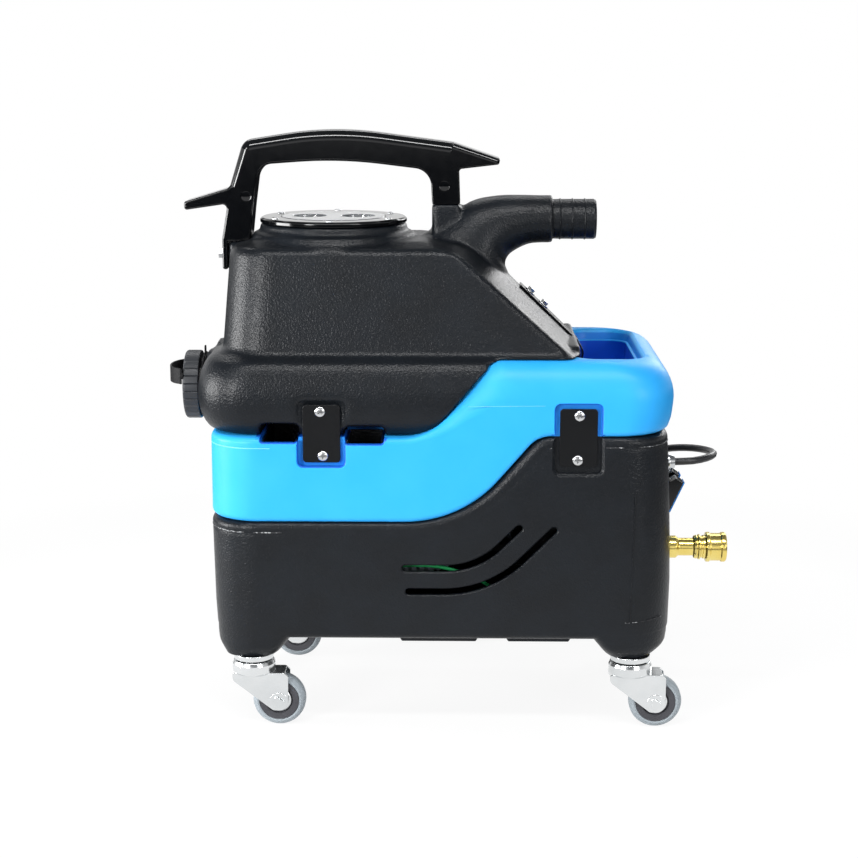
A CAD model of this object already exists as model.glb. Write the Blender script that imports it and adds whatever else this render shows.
"""Portable carpet cleaner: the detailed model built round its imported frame.

Every piece is drawn in millimetres about the middle of the body block. It is brought to metres,
in the frame's own place, when it is published.
"""
import logging
import math
from dataclasses import dataclass
from enum import Enum
from typing import Iterable, Sequence

import bmesh
import bpy
from mathutils import Matrix, Vector


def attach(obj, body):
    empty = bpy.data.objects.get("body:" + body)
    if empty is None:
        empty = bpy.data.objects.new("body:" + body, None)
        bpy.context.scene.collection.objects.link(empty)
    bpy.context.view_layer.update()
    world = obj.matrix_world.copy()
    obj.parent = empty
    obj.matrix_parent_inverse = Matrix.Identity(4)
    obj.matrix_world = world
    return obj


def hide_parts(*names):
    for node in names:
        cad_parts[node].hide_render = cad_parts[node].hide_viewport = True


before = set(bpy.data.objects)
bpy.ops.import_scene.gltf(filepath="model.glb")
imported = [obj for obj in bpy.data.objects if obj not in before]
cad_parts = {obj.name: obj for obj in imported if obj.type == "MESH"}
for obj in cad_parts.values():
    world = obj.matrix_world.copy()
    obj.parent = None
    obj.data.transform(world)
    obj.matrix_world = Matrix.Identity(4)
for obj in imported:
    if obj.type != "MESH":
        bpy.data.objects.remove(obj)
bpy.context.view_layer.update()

LOG = logging.getLogger("carpet_cleaner")
MM = 0.001
BODY_TO_FRAME = -3.65            # the frame's centre lies this far from the body block's, mm
GAP = 0.3                        # between pieces that touch
SIDES = (-1, 1)                  # the front and the back, or the low end and the hose end
BODY_HALF_LENGTH = 220.0
BODY_HALF_WIDTH = 129.0
BODY_CORNER = 44.0
SIDE_FACE = BODY_HALF_WIDTH - 0.4
FLOOR_LEVEL = 92.0
DECK_TOP = 459.0
NECK_X = -106.9
NECK_TOP = 476.5
HOSE_LEVEL = 479.3
DUCT_END = 106.0
DRAIN_LEVEL = 315.3
SPOUT_FACE = -233.2
END_WALL = 215.8
PANEL = (-13.5, 213.0)           # across and up, on the end wall
ROCKERS = (("pump", -30.0), ("vacuum", 3.0))
ROCKER_LEVEL = 212.0
GLAND = (35.0, 230.0)
COUPLER = (-45.0, 162.4)
CASTER_X, CASTER_Y = 181.25, 103.0
TUNNEL_X = -125.0
TUNNEL_RADIUS = 29.0
MACHINE = "machine"
QUARTER_TURN, HALF_TURN, FULL_TURN = math.pi / 2, math.pi, 2 * math.pi

CLOUD_MM = 40.0                  # the clouds in which a finish's two colours take turns
CHIP_MM = 2.2                    # the chips of dust on trimmed flash
DUST = "#9A9C9E"

Point2 = tuple[float, float]
Corner = tuple[float, ...]       # two coordinates, then the rounding's radius if it has one
Socket = bpy.types.NodeSocket


# ---------------------------------------------------------------- finishes

def linear(code: str) -> tuple[float, float, float, float]:
    """Turns an sRGB hex colour to linear.

    Args:
        code: six hex digits after a #.

    Returns:
        The linear red, green and blue with an alpha of one.
    """
    parts = [int(code[i:i + 2], 16) / 255 for i in (1, 3, 5)]
    bent = [c / 12.92 if c <= 0.04045 else ((c + 0.055) / 1.055) ** 2.4 for c in parts]
    return (bent[0], bent[1], bent[2], 1.0)


class Tree:
    """The node tree of a material or a world, emptied and drawn afresh."""

    def __init__(self, owner: bpy.types.ID) -> None:
        """Takes over a tree.

        Args:
            owner: the material or the world.
        """
        owner.use_nodes = True
        self.nodes, self.links = owner.node_tree.nodes, owner.node_tree.links
        self.nodes.clear()

    def add(self, kind: str, sockets: dict, **settings) -> bpy.types.Node:
        """Adds a node.

        Args:
            kind: the node's type name, without the word that they all start with.
            sockets: values or source sockets, by input name or number.
            **settings: the node's own properties.

        Returns:
            The new node.
        """
        node = self.nodes.new("ShaderNode" + kind)
        for name, value in settings.items():
            setattr(node, name, value)
        for name, value in sockets.items():
            if isinstance(value, Socket):
                self.links.new(value, node.inputs[name])
            else:
                node.inputs[name].default_value = value
        return node

    def place(self, kind: str = "Object") -> Socket:
        """Gives the coordinates of one kind."""
        return self.add("TexCoord", {}).outputs[kind]

    def noise(self, place: Socket, scale: float, detail: float, roughness: float = 0.5) -> Socket:
        """Gives a cloudy pattern of a scale, in repeats to the metre."""
        return self.add("TexNoise", {"Vector": place, "Scale": scale, "Detail": detail,
                                     "Roughness": roughness}).outputs["Fac"]

    def spread(self, value: Socket, low: float, high: float, first: float = 0.0,
               last: float = 1.0) -> Socket:
        """Stretches the range from low to high of a value to run from first to last."""
        return self.add("MapRange", {"Value": value, "From Min": low, "From Max": high,
                                     "To Min": first, "To Max": last}).outputs["Result"]

    def blend(self, share: Socket, first: Socket | tuple, second: str) -> Socket:
        """Blends a colour towards a second one, given by its code, by a share."""
        return self.add("Mix", {0: share, 6: first, 7: linear(second)},
                        data_type="RGBA").outputs[2]

    def sum(self, first: Socket, second: Socket, use_clamp: bool = True) -> Socket:
        """Adds two values."""
        return self.add("Math", {0: first, 1: second}, operation="ADD",
                        use_clamp=use_clamp).outputs[0]

    def product(self, first: Socket, second: Socket) -> Socket:
        """Multiplies two values."""
        return self.add("Math", {0: first, 1: second}, operation="MULTIPLY").outputs[0]


class Grain(Enum):
    """How a moulded or worked surface catches the light."""

    PEBBLE = "pebble"
    SMOOTH = "smooth"
    TURNED = "turned"
    PLATED = "plated"


@dataclass(frozen=True)
class Finish:
    """A surface finish: a common material, how its surface was made and its slot's name.

    The second colour takes turns with the first in clouds, chips of pale dust show where speck is
    above nothing, and faces marked as hollow take the deep colour if there is one.
    """

    name: str
    slot: str
    colour: str
    second: str
    roughness: float
    grain: Grain = Grain.SMOOTH
    grain_mm: float = 2.0
    relief: float = 0.1
    metallic: float = 0.0
    clear: float = 0.0
    ior: float = 1.5
    specular: float = 0.5
    speck: float = 0.0
    deep: str = ""

    def material(self) -> bpy.types.Material:
        """Makes the material, unless it is already made.

        Returns:
            The material.
        """
        made = bpy.data.materials.get(self.name)
        if made:
            return made
        made = bpy.data.materials.new(self.name)
        tree = Tree(made)
        place = tree.place()
        fine = tree.noise(place, 1 / (self.grain_mm * MM), 2.0)
        bump = tree.add("Bump", {
            "Height": self._height(tree, place), "Strength": min(self.relief * 4, 1.0),
            "Distance": self.relief * MM})
        shader = tree.add("BsdfPrincipled", {
            "Metallic": self.metallic, "Transmission Weight": self.clear, "IOR": self.ior,
            "Specular IOR Level": self.specular, "Base Color": self._paint(tree, place),
            "Roughness": tree.spread(fine, 0.3, 0.7, self.roughness * 0.88,
                                     min(self.roughness * 1.14, 1.0)),
            "Normal": bump.outputs["Normal"]})
        tree.add("OutputMaterial", {"Surface": shader.outputs["BSDF"]})
        return made

    def _paint(self, tree: Tree, place: Socket) -> Socket:
        """Varies the colour.

        Args:
            tree: the material's tree.
            place: the object coordinates.

        Returns:
            The colour.
        """
        cloud = tree.spread(tree.noise(place, 1 / (CLOUD_MM * MM), 4.0), 0.35, 0.65)
        colour = tree.blend(cloud, linear(self.colour), self.second)
        if self.deep:
            hidden = tree.add("Attribute", {}, attribute_name="hollow").outputs["Fac"]
            colour = tree.blend(hidden, colour, self.deep)
        if self.speck:
            cells = tree.noise(place, 1 / (CHIP_MM * MM), 1.0)
            chips = tree.spread(cells, 0.56, 0.62, 0.0, self.speck)
            colour = tree.blend(chips, colour, DUST)
        return colour

    def _height(self, tree: Tree, place: Socket) -> Socket:
        """Draws the surface's grain.

        Args:
            tree: the material's tree.
            place: the object coordinates.

        Returns:
            The grain's height.
        """
        scale = 1 / (self.grain_mm * MM)
        if self.grain is Grain.PEBBLE:
            cells = tree.add("TexVoronoi", {"Vector": place, "Scale": scale}, feature="SMOOTH_F1")
            waves = tree.noise(place, scale * 1.3, 1.0)
            return tree.sum(cells.outputs["Distance"], waves, False)
        if self.grain is Grain.TURNED:
            return tree.add("TexWave", {
                "Vector": place, "Scale": scale * 0.16, "Distortion": 0.4, "Detail": 2.0},
                bands_direction="X").outputs["Fac"]
        if self.grain is Grain.PLATED:
            return tree.noise(place, scale, 5.0, 0.62)
        return tree.noise(place, scale, 3.0)


# Rotomoulded polyethylene comes out of a grit-blasted mould: satin, with a pebble of about 1.8 mm
BLACK_TANK = Finish("rotomoulded_black_polyethylene", "black_tank", "#0D1014", "#101419", 0.35,
                    Grain.PEBBLE, 1.8, 0.27, specular=0.26)
BLUE_TANK = Finish("rotomoulded_blue_polyethylene", "blue_tank", "#28A2EC", "#2EA6EE", 0.42,
                   Grain.PEBBLE, 2.4, 0.05, specular=0.3, deep="#0A50C8")
PARTING_FLASH = Finish("trimmed_mould_flash", "black_tank", "#1C1D20", "#2A2B2E", 0.6,
                       Grain.PEBBLE, 1.2, 0.1, speck=1.0)
BLUE_FLASH = Finish("trimmed_blue_flash", "blue_tank", "#59C0F8", "#6CC8F9", 0.55,
                    Grain.PEBBLE, 1.2, 0.06, speck=0.25)
# Injection moulded ABS from a polished mould: deep gloss with only slow waves in it
GLOSS_ABS = Finish("polished_black_abs", "black_gloss", "#050608", "#07080A", 0.1,
                   Grain.SMOOTH, 9.0, 0.03)
# The rockers' faces are a tinted acrylic that glows when they are on
BLUE_LENS = Finish("tinted_blue_acrylic", "black_gloss", "#0C74C8", "#0F7ED2", 0.16,
                   Grain.SMOOTH, 6.0, 0.02)
# Glass-filled nylon plates and fittings: fine satin
NYLON = Finish("satin_black_nylon", "black_plate", "#0B0C0E", "#0E0F11", 0.34,
               Grain.SMOOTH, 0.9, 0.04, specular=0.25)
# Injection moulded polypropylene of the cap: a greyer black than the tanks
CAP_PP = Finish("black_polypropylene_cap", "black_plate", "#26282C", "#2B2D31", 0.42,
                Grain.SMOOTH, 0.9, 0.05, specular=0.4)
CLEAR_LID = Finish("clear_moulded_polycarbonate", "clear_lid", "#D6DADF", "#DCE0E4", 0.04,
                   Grain.SMOOTH, 12.0, 0.02, clear=0.85, ior=1.58)
RUBBER = Finish("moulded_black_rubber", "rubber", "#0E0E10", "#121214", 0.6,
                Grain.SMOOTH, 0.8, 0.05, specular=0.2)
# Sheet rubber pressed between polished plates, so it shines
SHEET_RUBBER = Finish("polished_rubber_sheet", "rubber", "#08090B", "#0C0D0F", 0.24,
                      Grain.SMOOTH, 6.0, 0.05, specular=0.3)
HOSE_VINYL = Finish("corrugated_vinyl_hose", "rubber", "#A3AEB8", "#AEB8C1", 0.5,
                    Grain.SMOOTH, 1.5, 0.05)
CORD_VINYL = Finish("black_cord_vinyl", "cord_vinyl", "#1B1C1F", "#202124", 0.38,
                    Grain.SMOOTH, 1.4, 0.05)
GREEN_VINYL = Finish("green_wire_vinyl", "green_wire", "#1B8E4E", "#209A56", 0.35,
                     Grain.SMOOTH, 1.0, 0.02)
STEEL = Finish("stainless_steel_turned", "steel", "#C9CBCD", "#D6D7D8", 0.24,
               Grain.PLATED, 1.2, 0.02, metallic=1.0)
# Bright zinc plating over pressed sheet shows the faint orange peel of the rolled steel
ZINC = Finish("bright_zinc_plated_steel", "zinc", "#D8DBDC", "#E4E6E7", 0.2,
              Grain.PLATED, 2.6, 0.05, metallic=1.0)
# Free-machining brass keeps the fine rings of the lathe tool, 0.8 mm apart so that they show
BRASS = Finish("bright_turned_brass", "brass", "#F2DF8C", "#EACF6E", 0.22,
               Grain.TURNED, 0.8, 0.02, metallic=1.0)
ALUMINIUM = Finish("cast_aluminium", "motor_metal", "#9A9C9F", "#A4A6A8", 0.4,
                   Grain.PLATED, 1.4, 0.05, metallic=1.0)
TYRE = Finish("grey_thermoplastic_rubber", "wheel_tyre", "#878F95", "#8E969B", 0.55,
              Grain.SMOOTH, 1.0, 0.04, specular=0.4)
HUB = Finish("dark_grey_polypropylene", "wheel_hub", "#333338", "#39393E", 0.5,
             Grain.SMOOTH, 1.2, 0.04)
FLOAT_PLASTIC = Finish("white_polypropylene", "float_plastic", "#E4E2DA", "#E9E7E0", 0.35,
                       Grain.SMOOTH, 4.0, 0.02)


# ---------------------------------------------------------------- outlines

def lerp(a: float, b: float, t: float) -> float:
    """Blends two numbers."""
    return a + (b - a) * t


def clamped(value: float) -> float:
    """Holds a number between zero and one."""
    return max(0.0, min(1.0, value))


def eased(share: float) -> float:
    """Bends a share so that it starts and ends level."""
    return share * share * (3 - 2 * share)


def turns(count: int, whole: float = FULL_TURN, ends: int = 0) -> list[float]:
    """Gives even angles from zero.

    Args:
        count: steps in the whole.
        whole: the whole angle.
        ends: one if the whole's end is also given.

    Returns:
        The angles.
    """
    return [whole * k / count for k in range(count + ends)]


def quarter(steps: int) -> list[float]:
    """Gives even angles from zero to a quarter turn."""
    return turns(steps, QUARTER_TURN, 1)


def round_points(u: float, v: float, radius: float, angles: Iterable[float]) -> list[Point2]:
    """Gives the points of a circle at some angles."""
    return [(u + radius * math.cos(a), v + radius * math.sin(a)) for a in angles]


def rounded(corners: Sequence[Corner], steps: int = 6, closed: bool = True) -> list[Point2]:
    """Walks a line through corners, each rounded to its radius.

    Args:
        corners: the corners, sharp where they have no radius.
        steps: points along each rounding, less one.
        closed: whether the line returns to its start.

    Returns:
        The points, the same number for each corner that has a radius.
    """
    line: list[Point2] = []
    count = len(corners)
    for i, corner in enumerate(corners):
        u, v, radius = (*corner, 0.0)[:3]
        here = Vector((u, v))
        before = (Vector(corners[i - 1][:2]) - here).normalized()
        after = (Vector(corners[(i + 1) % count][:2]) - here).normalized()
        half = math.acos(max(-1.0, min(1.0, before.dot(after)))) / 2
        at_end = not closed and i in (0, count - 1)
        if radius <= 0 or at_end or half > QUARTER_TURN - 1e-3:
            line.append((u, v))
            continue
        centre = here + (before + after).normalized() * (radius / math.sin(half))
        start = here + before * (radius / math.tan(half)) - centre
        turn = 1.0 if before.x * after.y - before.y * after.x < 0 else -1.0
        for k in range(steps + 1):
            angle = turn * (HALF_TURN - 2 * half) * k / steps
            spoke = Vector((start.x * math.cos(angle) - start.y * math.sin(angle),
                            start.x * math.sin(angle) + start.y * math.cos(angle)))
            line.append((centre.x + spoke.x, centre.y + spoke.y))
    return line


def box_outline(u: float, v: float, width: float, height: float, radius: float,
                steps: int = 6) -> list[Point2]:
    """Gives a rounded rectangle, anticlockwise.

    Args:
        u: its middle across.
        v: its middle up.
        width: its size across.
        height: its size up.
        radius: its corners' radius.
        steps: steps in each corner.

    Returns:
        The points.
    """
    w, h = width / 2, height / 2
    return rounded([(u - w, v - h, radius), (u + w, v - h, radius),
                    (u + w, v + h, radius), (u - w, v + h, radius)], steps)


def circle(u: float, v: float, radius: float, steps: int = 32) -> list[Point2]:
    """Gives points round a circle, anticlockwise."""
    return round_points(u, v, radius, turns(steps))


def at(x: float = 0.0, y: float = 0.0, z: float = 0.0) -> Matrix:
    """Moves a drawing to a place."""
    return Matrix.Translation((x, y, z))


def about_z(side: int) -> Matrix:
    """Turns what faces the front to face the back where side is 1."""
    return Matrix.Rotation(HALF_TURN if side > 0 else 0.0, 4, "Z")


def span(side: int, deep: float, near: float) -> Point2:
    """Gives a range of depths in the front or back as a range along what TO_FRONT faces."""
    return (deep, near) if side < 0 else (-near, -deep)


UPRIGHT = Matrix.Identity(4)
ALONG_X = Matrix.Rotation(QUARTER_TURN, 4, "Y")          # Z goes to X
ALONG_MINUS_X = Matrix.Rotation(-QUARTER_TURN, 4, "Y")   # Z goes to -X
TO_FRONT = Matrix.Rotation(QUARTER_TURN, 4, "X")         # Z goes to -Y, and Y to Z
FACING_X = Matrix(((0, 0, 1, 0), (1, 0, 0, 0), (0, 1, 0, 0), (0, 0, 0, 1)))   # XYZ go to YZX


def smooth_line(points: Sequence[Sequence[float]], spacing: float) -> list[Vector]:
    """Runs a smooth curve through points and marks it off evenly.

    Args:
        points: the points to pass through.
        spacing: the wanted distance between marks.

    Returns:
        The marks, with the first and last point among them.
    """
    fineness = 24
    knots = [Vector(point) for point in points]
    dense = [knots[0]]
    for i, (p1, p2) in enumerate(zip(knots, knots[1:])):
        p0 = knots[i - 1] if i else knots[0] * 2 - knots[1]
        p3 = knots[i + 2] if i + 2 < len(knots) else knots[-1] * 2 - knots[-2]
        g0, g1, g2 = (max((b - a).length, 1e-6) ** 0.5 for a, b in ((p0, p1), (p1, p2), (p2, p3)))
        m1 = (p2 - p1 + ((p1 - p0) / g0 - (p2 - p0) / (g0 + g1)) * g1)
        m2 = (p2 - p1 + ((p3 - p2) / g2 - (p3 - p1) / (g1 + g2)) * g1)
        for k in range(1, fineness + 1):
            t = k / fineness
            dense.append(p1 * (2 * t ** 3 - 3 * t ** 2 + 1) + m1 * (t ** 3 - 2 * t ** 2 + t)
                         + p2 * (3 * t ** 2 - 2 * t ** 3) + m2 * (t ** 3 - t ** 2))
    steps = [(b - a).length for a, b in zip(dense, dense[1:])]
    total = sum(steps)
    count = max(int(round(total / spacing)), 2)
    marks, run, k = [dense[0].copy()], 0.0, 0
    for n in range(1, count):
        target = total * n / count
        while run + steps[k] < target:
            run += steps[k]
            k += 1
        marks.append(dense[k].lerp(dense[k + 1], (target - run) / max(steps[k], 1e-9)))
    return marks + [dense[-1].copy()]


# ---------------------------------------------------------------- solids

class Cap(Enum):
    """How the end of a loft is closed."""

    OPEN = "open"
    FLAT = "flat"
    RIDGE = "ridge"
    LOOP = "loop"


class Cut(Enum):
    """What one solid does to another."""

    TAKE = "DIFFERENCE"
    JOIN = "UNION"


def show(name: str, data: bpy.types.ID | None) -> bpy.types.Object:
    """Makes an object and links it to the scene.

    Args:
        name: the object's name.
        data: what it shows.

    Returns:
        The object.
    """
    made = bpy.data.objects.new(name, data)
    bpy.context.scene.collection.objects.link(made)
    return made


class Solid:
    """One or more closed skins, drawn in a mesh and then worked on as an object."""

    def __init__(self, name: str = "solid") -> None:
        """Starts an empty drawing.

        Args:
            name: the name that its object takes.
        """
        self.name = name
        self.bm: bmesh.types.BMesh = bmesh.new()
        self.made: bpy.types.Object | None = None

    def _new_verts(self, before: set) -> list[bmesh.types.BMVert]:
        """Lists the vertices that were not there before."""
        return [vert for vert in self.bm.verts if vert not in before]

    def _settle(self) -> None:
        """Puts edges and faces in the order of their vertices, which is the same in every run."""
        self.bm.verts.index_update()
        for items in (self.bm.edges, self.bm.faces):
            order = sorted(items, key=lambda item: sorted(vert.index for vert in item.verts))
            for index, item in enumerate(order):
                item.index = index
            items.sort()

    def _edges(self, ring: list[bmesh.types.BMVert]) -> list[bmesh.types.BMEdge]:
        """Gives a closed ring's edges."""
        return [self.bm.edges.get((ring[i - 1], vert)) for i, vert in enumerate(ring)]

    def _extrude(self, ring: list[bmesh.types.BMVert],
                 points: Sequence[Vector]) -> list[bmesh.types.BMVert]:
        """Extrudes a closed ring to new places.

        Args:
            ring: the ring's vertices in order.
            points: where the new ring's vertices go, in the same order.

        Returns:
            The new ring's vertices in order.
        """
        grown = bmesh.ops.extrude_edge_only(self.bm, edges=self._edges(ring))["geom"]
        fresh = {item for item in grown if isinstance(item, bmesh.types.BMVert)}
        above = [next(edge.other_vert(vert) for edge in vert.link_edges
                      if edge.other_vert(vert) in fresh) for vert in ring]
        for vert, point in zip(above, points):
            vert.co = point
        return above

    def _close(self, ring: list[bmesh.types.BMVert], cap: Cap) -> None:
        """Closes a ring.

        Args:
            ring: the ring's vertices in order.
            cap: flat for a plane ring, ridge for one whose height follows X.
        """
        if cap is Cap.FLAT:
            bmesh.ops.contextual_create(self.bm, geom=self._edges(ring))
        elif cap is Cap.RIDGE:
            reach = max(abs(vert.co.x) for vert in ring) * 0.86
            middle = [Vector((max(-reach, min(reach, vert.co.x)), 0.0, vert.co.z))
                      for vert in ring]
            bmesh.ops.remove_doubles(self.bm, verts=self._extrude(ring, middle), dist=0.01)

    def loft(self, rings: Sequence[Sequence[Vector]], start: Cap = Cap.FLAT,
             end: Cap = Cap.FLAT) -> "Solid":
        """Adds a skin through rings that all have the same number of points.

        Args:
            rings: the rings, each a closed line of points.
            start: how the first ring is closed.
            end: how the last ring is closed.

        Returns:
            The solid.
        """
        ring = bmesh.ops.create_circle(self.bm, segments=len(rings[0]), radius=1.0)["verts"]
        for vert, point in zip(ring, rings[0]):
            vert.co = point
        first = list(ring)
        for points in rings[1:]:
            ring = self._extrude(ring, points)
        self._settle()
        if end is Cap.LOOP:
            ring = self._extrude(ring, rings[0])
            bmesh.ops.remove_doubles(self.bm, verts=first + ring, dist=1e-4)
            return self
        self._close(first, start)
        self._close(ring, end)
        return self

    def lathe(self, profile: Sequence[Corner], steps: int, matrix: Matrix, closed: bool = False,
              fine: int = 4) -> "Solid":
        """Adds a profile of radius and height spun about the Z axis.

        Args:
            profile: the profile's corners.
            steps: steps in the full turn.
            matrix: where the solid goes.
            closed: whether the profile's end joins its start.
            fine: steps in the corners' roundings.

        Returns:
            The solid.
        """
        before = set(self.bm.verts)
        chain = [self.bm.verts.new((r, 0.0, z)) for r, z in rounded(profile, fine, closed)]
        pairs = list(zip(chain, chain[1:])) + ([(chain[-1], chain[0])] if closed else [])
        edges = [self.bm.edges.new(pair) for pair in pairs]
        bmesh.ops.spin(self.bm, geom=chain + edges, cent=(0, 0, 0), axis=(0, 0, 1),
                       dvec=(0, 0, 0), angle=FULL_TURN, steps=steps, use_merge=True,
                       use_duplicate=False)
        self._settle()
        bmesh.ops.remove_doubles(self.bm, verts=self._new_verts(before), dist=1e-4)
        bmesh.ops.transform(self.bm, matrix=matrix, verts=self._new_verts(before))
        return self

    def prism(self, outline: Sequence[Point2], low: float, high: float, matrix: Matrix,
              edge: float = 0.0, edge_steps: int = 3) -> "Solid":
        """Adds an outline drawn in its own plane and extruded, its rims rounded on request.

        Args:
            outline: the outline's points, anticlockwise.
            low: where the extrusion starts, along the plane's normal.
            high: where it ends.
            matrix: from the plane's axes to the body's.
            edge: the rims' rounding.
            edge_steps: steps in the rounding.

        Returns:
            The solid.
        """
        before = set(self.bm.verts)
        ring = bmesh.ops.create_circle(self.bm, segments=len(outline), radius=1.0)["verts"]
        for vert, (u, v) in zip(ring, outline):
            vert.co = (u, v, low)
        face = bmesh.ops.contextual_create(self.bm, geom=self._edges(ring))["faces"][0]
        grown = bmesh.ops.extrude_face_region(self.bm, geom=[face])["geom"]
        top = [item for item in grown if isinstance(item, bmesh.types.BMVert)]
        bmesh.ops.translate(self.bm, vec=(0, 0, high - low), verts=top)
        self._settle()
        made = set(self._new_verts(before))
        bmesh.ops.recalc_face_normals(self.bm, faces=[f for f in self.bm.faces
                                                      if f.verts[0] in made])
        if edge > 0:
            rims = [e for e in self.bm.edges if e.verts[0] in made
                    and abs(e.verts[0].co.z - e.verts[1].co.z) < 1e-6]
            bmesh.ops.bevel(self.bm, geom=rims, offset=edge, offset_type="OFFSET",
                            segments=edge_steps, profile=0.5, affect="EDGES",
                            clamp_overlap=True, material=-1)
        bmesh.ops.transform(self.bm, matrix=matrix, verts=self._new_verts(before))
        return self

    def tube(self, points: Sequence[Vector], radii: Sequence[float], sides: int) -> "Solid":
        """Adds a circle swept along a line of points, without twisting.

        Args:
            points: the middle line.
            radii: the tube's radius at each point.
            sides: points round the circle.

        Returns:
            The solid.
        """
        rings = []
        across = Vector((0.0, 0.0, 1.0))
        for i, point in enumerate(points):
            ahead = points[min(i + 1, len(points) - 1)] - points[max(i - 1, 0)]
            ahead = ahead.normalized()
            if i == 0 and abs(ahead.dot(across)) > 0.9:
                across = Vector((0.0, 1.0, 0.0))
            across = (across - ahead * across.dot(ahead)).normalized()
            other = ahead.cross(across)
            rings.append([point + (across * math.cos(a) + other * math.sin(a)) * radii[i]
                          for a in turns(sides)])
        return self.loft(rings)

    def pocket(self, x: float, width: float, low: float, high: float, seat: float, face: float,
               side: int, flare: float = 2.0, radius: float = 5.0) -> "Solid":
        """Adds a cutter for a pocket in a side wall, with a rounded rim.

        Args:
            x: the pocket's middle.
            width: its width.
            low: its lowest edge.
            high: its highest edge.
            seat: how far its floor is from the middle plane.
            face: how far the wall's face is from the middle plane.
            side: -1 for the front, 1 for the back.
            flare: the rim's rounding.
            radius: the corners' radius.

        Returns:
            The solid.
        """
        past_face = 14.0
        depths = [(seat, 0.0)] + [
            (face - flare * math.cos(a), flare * (1 - math.sin(QUARTER_TURN - a)))
            for a in quarter(4)] + [(face + past_face, flare)]
        return self.loft([[Vector((u, side * depth, v)) for u, v in box_outline(
            x, (low + high) / 2, width + 2 * grow, high - low + 2 * grow, radius + grow, 5)]
            for depth, grow in depths])

    def screw(self, radius: float, dome: float, matrix: Matrix, turn: float) -> "Solid":
        """Adds a domed head with a cross recess.

        Args:
            radius: the head's radius.
            dome: how far it stands up.
            matrix: where the head's seat goes, with Z outwards.
            turn: how far the cross is turned, in degrees.

        Returns:
            The solid.
        """
        arc = [(radius * math.cos(a) ** 0.8 if a < QUARTER_TURN - 0.01 else 0.0,
                dome * (0.25 + 0.75 * math.sin(a))) for a in quarter(6)]
        head = Solid().lathe([(0.0, -0.2), (radius, -0.2)] + arc, 24, UPRIGHT)
        cross = Solid()
        for wing, lift in ((0.0, 0.0), (90.0, 0.003)):
            cross.prism(box_outline(0, 0, radius * 1.15, radius * 0.26, radius * 0.1, 2),
                        dome * 0.45, dome * 1.6,
                        Matrix.Rotation(math.radians(turn + wing), 4, "Z") @ at(0, 0, lift))
        mesh = head.take(cross, True).object().data
        mesh.transform(matrix)
        self.bm.from_mesh(mesh)
        head.drop()
        return self

    def object(self, heal: bool = True) -> bpy.types.Object:
        """Turns the drawing to an object, unless that is done.

        Args:
            heal: whether its faces are turned outwards.

        Returns:
            The object.
        """
        if self.made is None:
            self._settle()
            if heal:
                bmesh.ops.recalc_face_normals(self.bm, faces=self.bm.faces)
            mesh = bpy.data.meshes.new(self.name)
            self.bm.to_mesh(mesh)
            self.bm.free()
            self.made = show(self.name, mesh)
        return self.made

    def drop(self) -> None:
        """Removes the solid."""
        mesh = self.object().data
        bpy.data.objects.remove(self.made)
        bpy.data.meshes.remove(mesh)

    def modify(self, kind: str, **settings) -> "Solid":
        """Applies a modifier.

        Args:
            kind: the modifier's type.
            **settings: the modifier's own properties.

        Returns:
            The solid.
        """
        target = self.object()
        step = target.modifiers.new("step", kind)
        for name, value in settings.items():
            setattr(step, name, value)
        depsgraph = bpy.context.evaluated_depsgraph_get()
        mesh = bpy.data.meshes.new_from_object(target.evaluated_get(depsgraph))
        old = target.data
        target.modifiers.clear()
        target.data = mesh
        bpy.data.meshes.remove(old)
        return self

    def work(self, tool: "Solid", cut: Cut, crossed: bool) -> "Solid":
        """Joins or takes another solid, which is used up.

        Args:
            tool: the other solid.
            cut: what it does.
            crossed: whether its own skins pass through each other.

        Returns:
            The solid.
        """
        self.object()
        self.modify("BOOLEAN", operation=cut.value, solver="EXACT", use_self=crossed,
                    object=tool.object())
        tool.drop()
        return self

    def take(self, tool: "Solid", crossed: bool = False) -> "Solid":
        """Cuts another solid away."""
        return self.work(tool, Cut.TAKE, crossed)

    def join(self, tool: "Solid", crossed: bool = False) -> "Solid":
        """Joins another solid on."""
        return self.work(tool, Cut.JOIN, crossed)

    def publish(self, finish: Finish, replaces: str = "", body: str = MACHINE, slot: str = "",
                sharp: float = 38.0, weighted: bool = True, heal: bool = True) -> bpy.types.Object:
        """Brings a finished piece to metres, shades and dresses it and hands it to the frame.

        Args:
            finish: its surface.
            replaces: the frame's node that it stands for, if any.
            body: the body that it rides on.
            slot: the record's material slot, where it isn't the finish's own.
            sharp: edges above this many degrees stay crisp.
            weighted: whether large faces hold their own normals.
            heal: whether its faces are turned outwards.

        Returns:
            The piece.
        """
        piece = self.object(heal)
        piece.data.transform(Matrix.Scale(MM, 4) @ at(BODY_TO_FRAME))
        piece.data.shade_smooth()
        piece.data.set_sharp_from_angle(angle=math.radians(sharp))
        if weighted:
            self.modify("WEIGHTED_NORMAL", keep_sharp=True, weight=60)
        piece.data.materials.clear()
        piece.data.materials.append(finish.material())
        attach(piece, body)
        if replaces:
            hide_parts(replaces)
        LOG.info("%s: %d faces", piece.name, len(piece.data.polygons))
        return piece


def dress(finish: Finish, *names: str) -> None:
    """Gives the frame's own nodes a finish."""
    for name in names:
        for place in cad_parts[name].material_slots:
            place.material = finish.material()


# ---------------------------------------------------------------- the body's plan and seams

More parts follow.
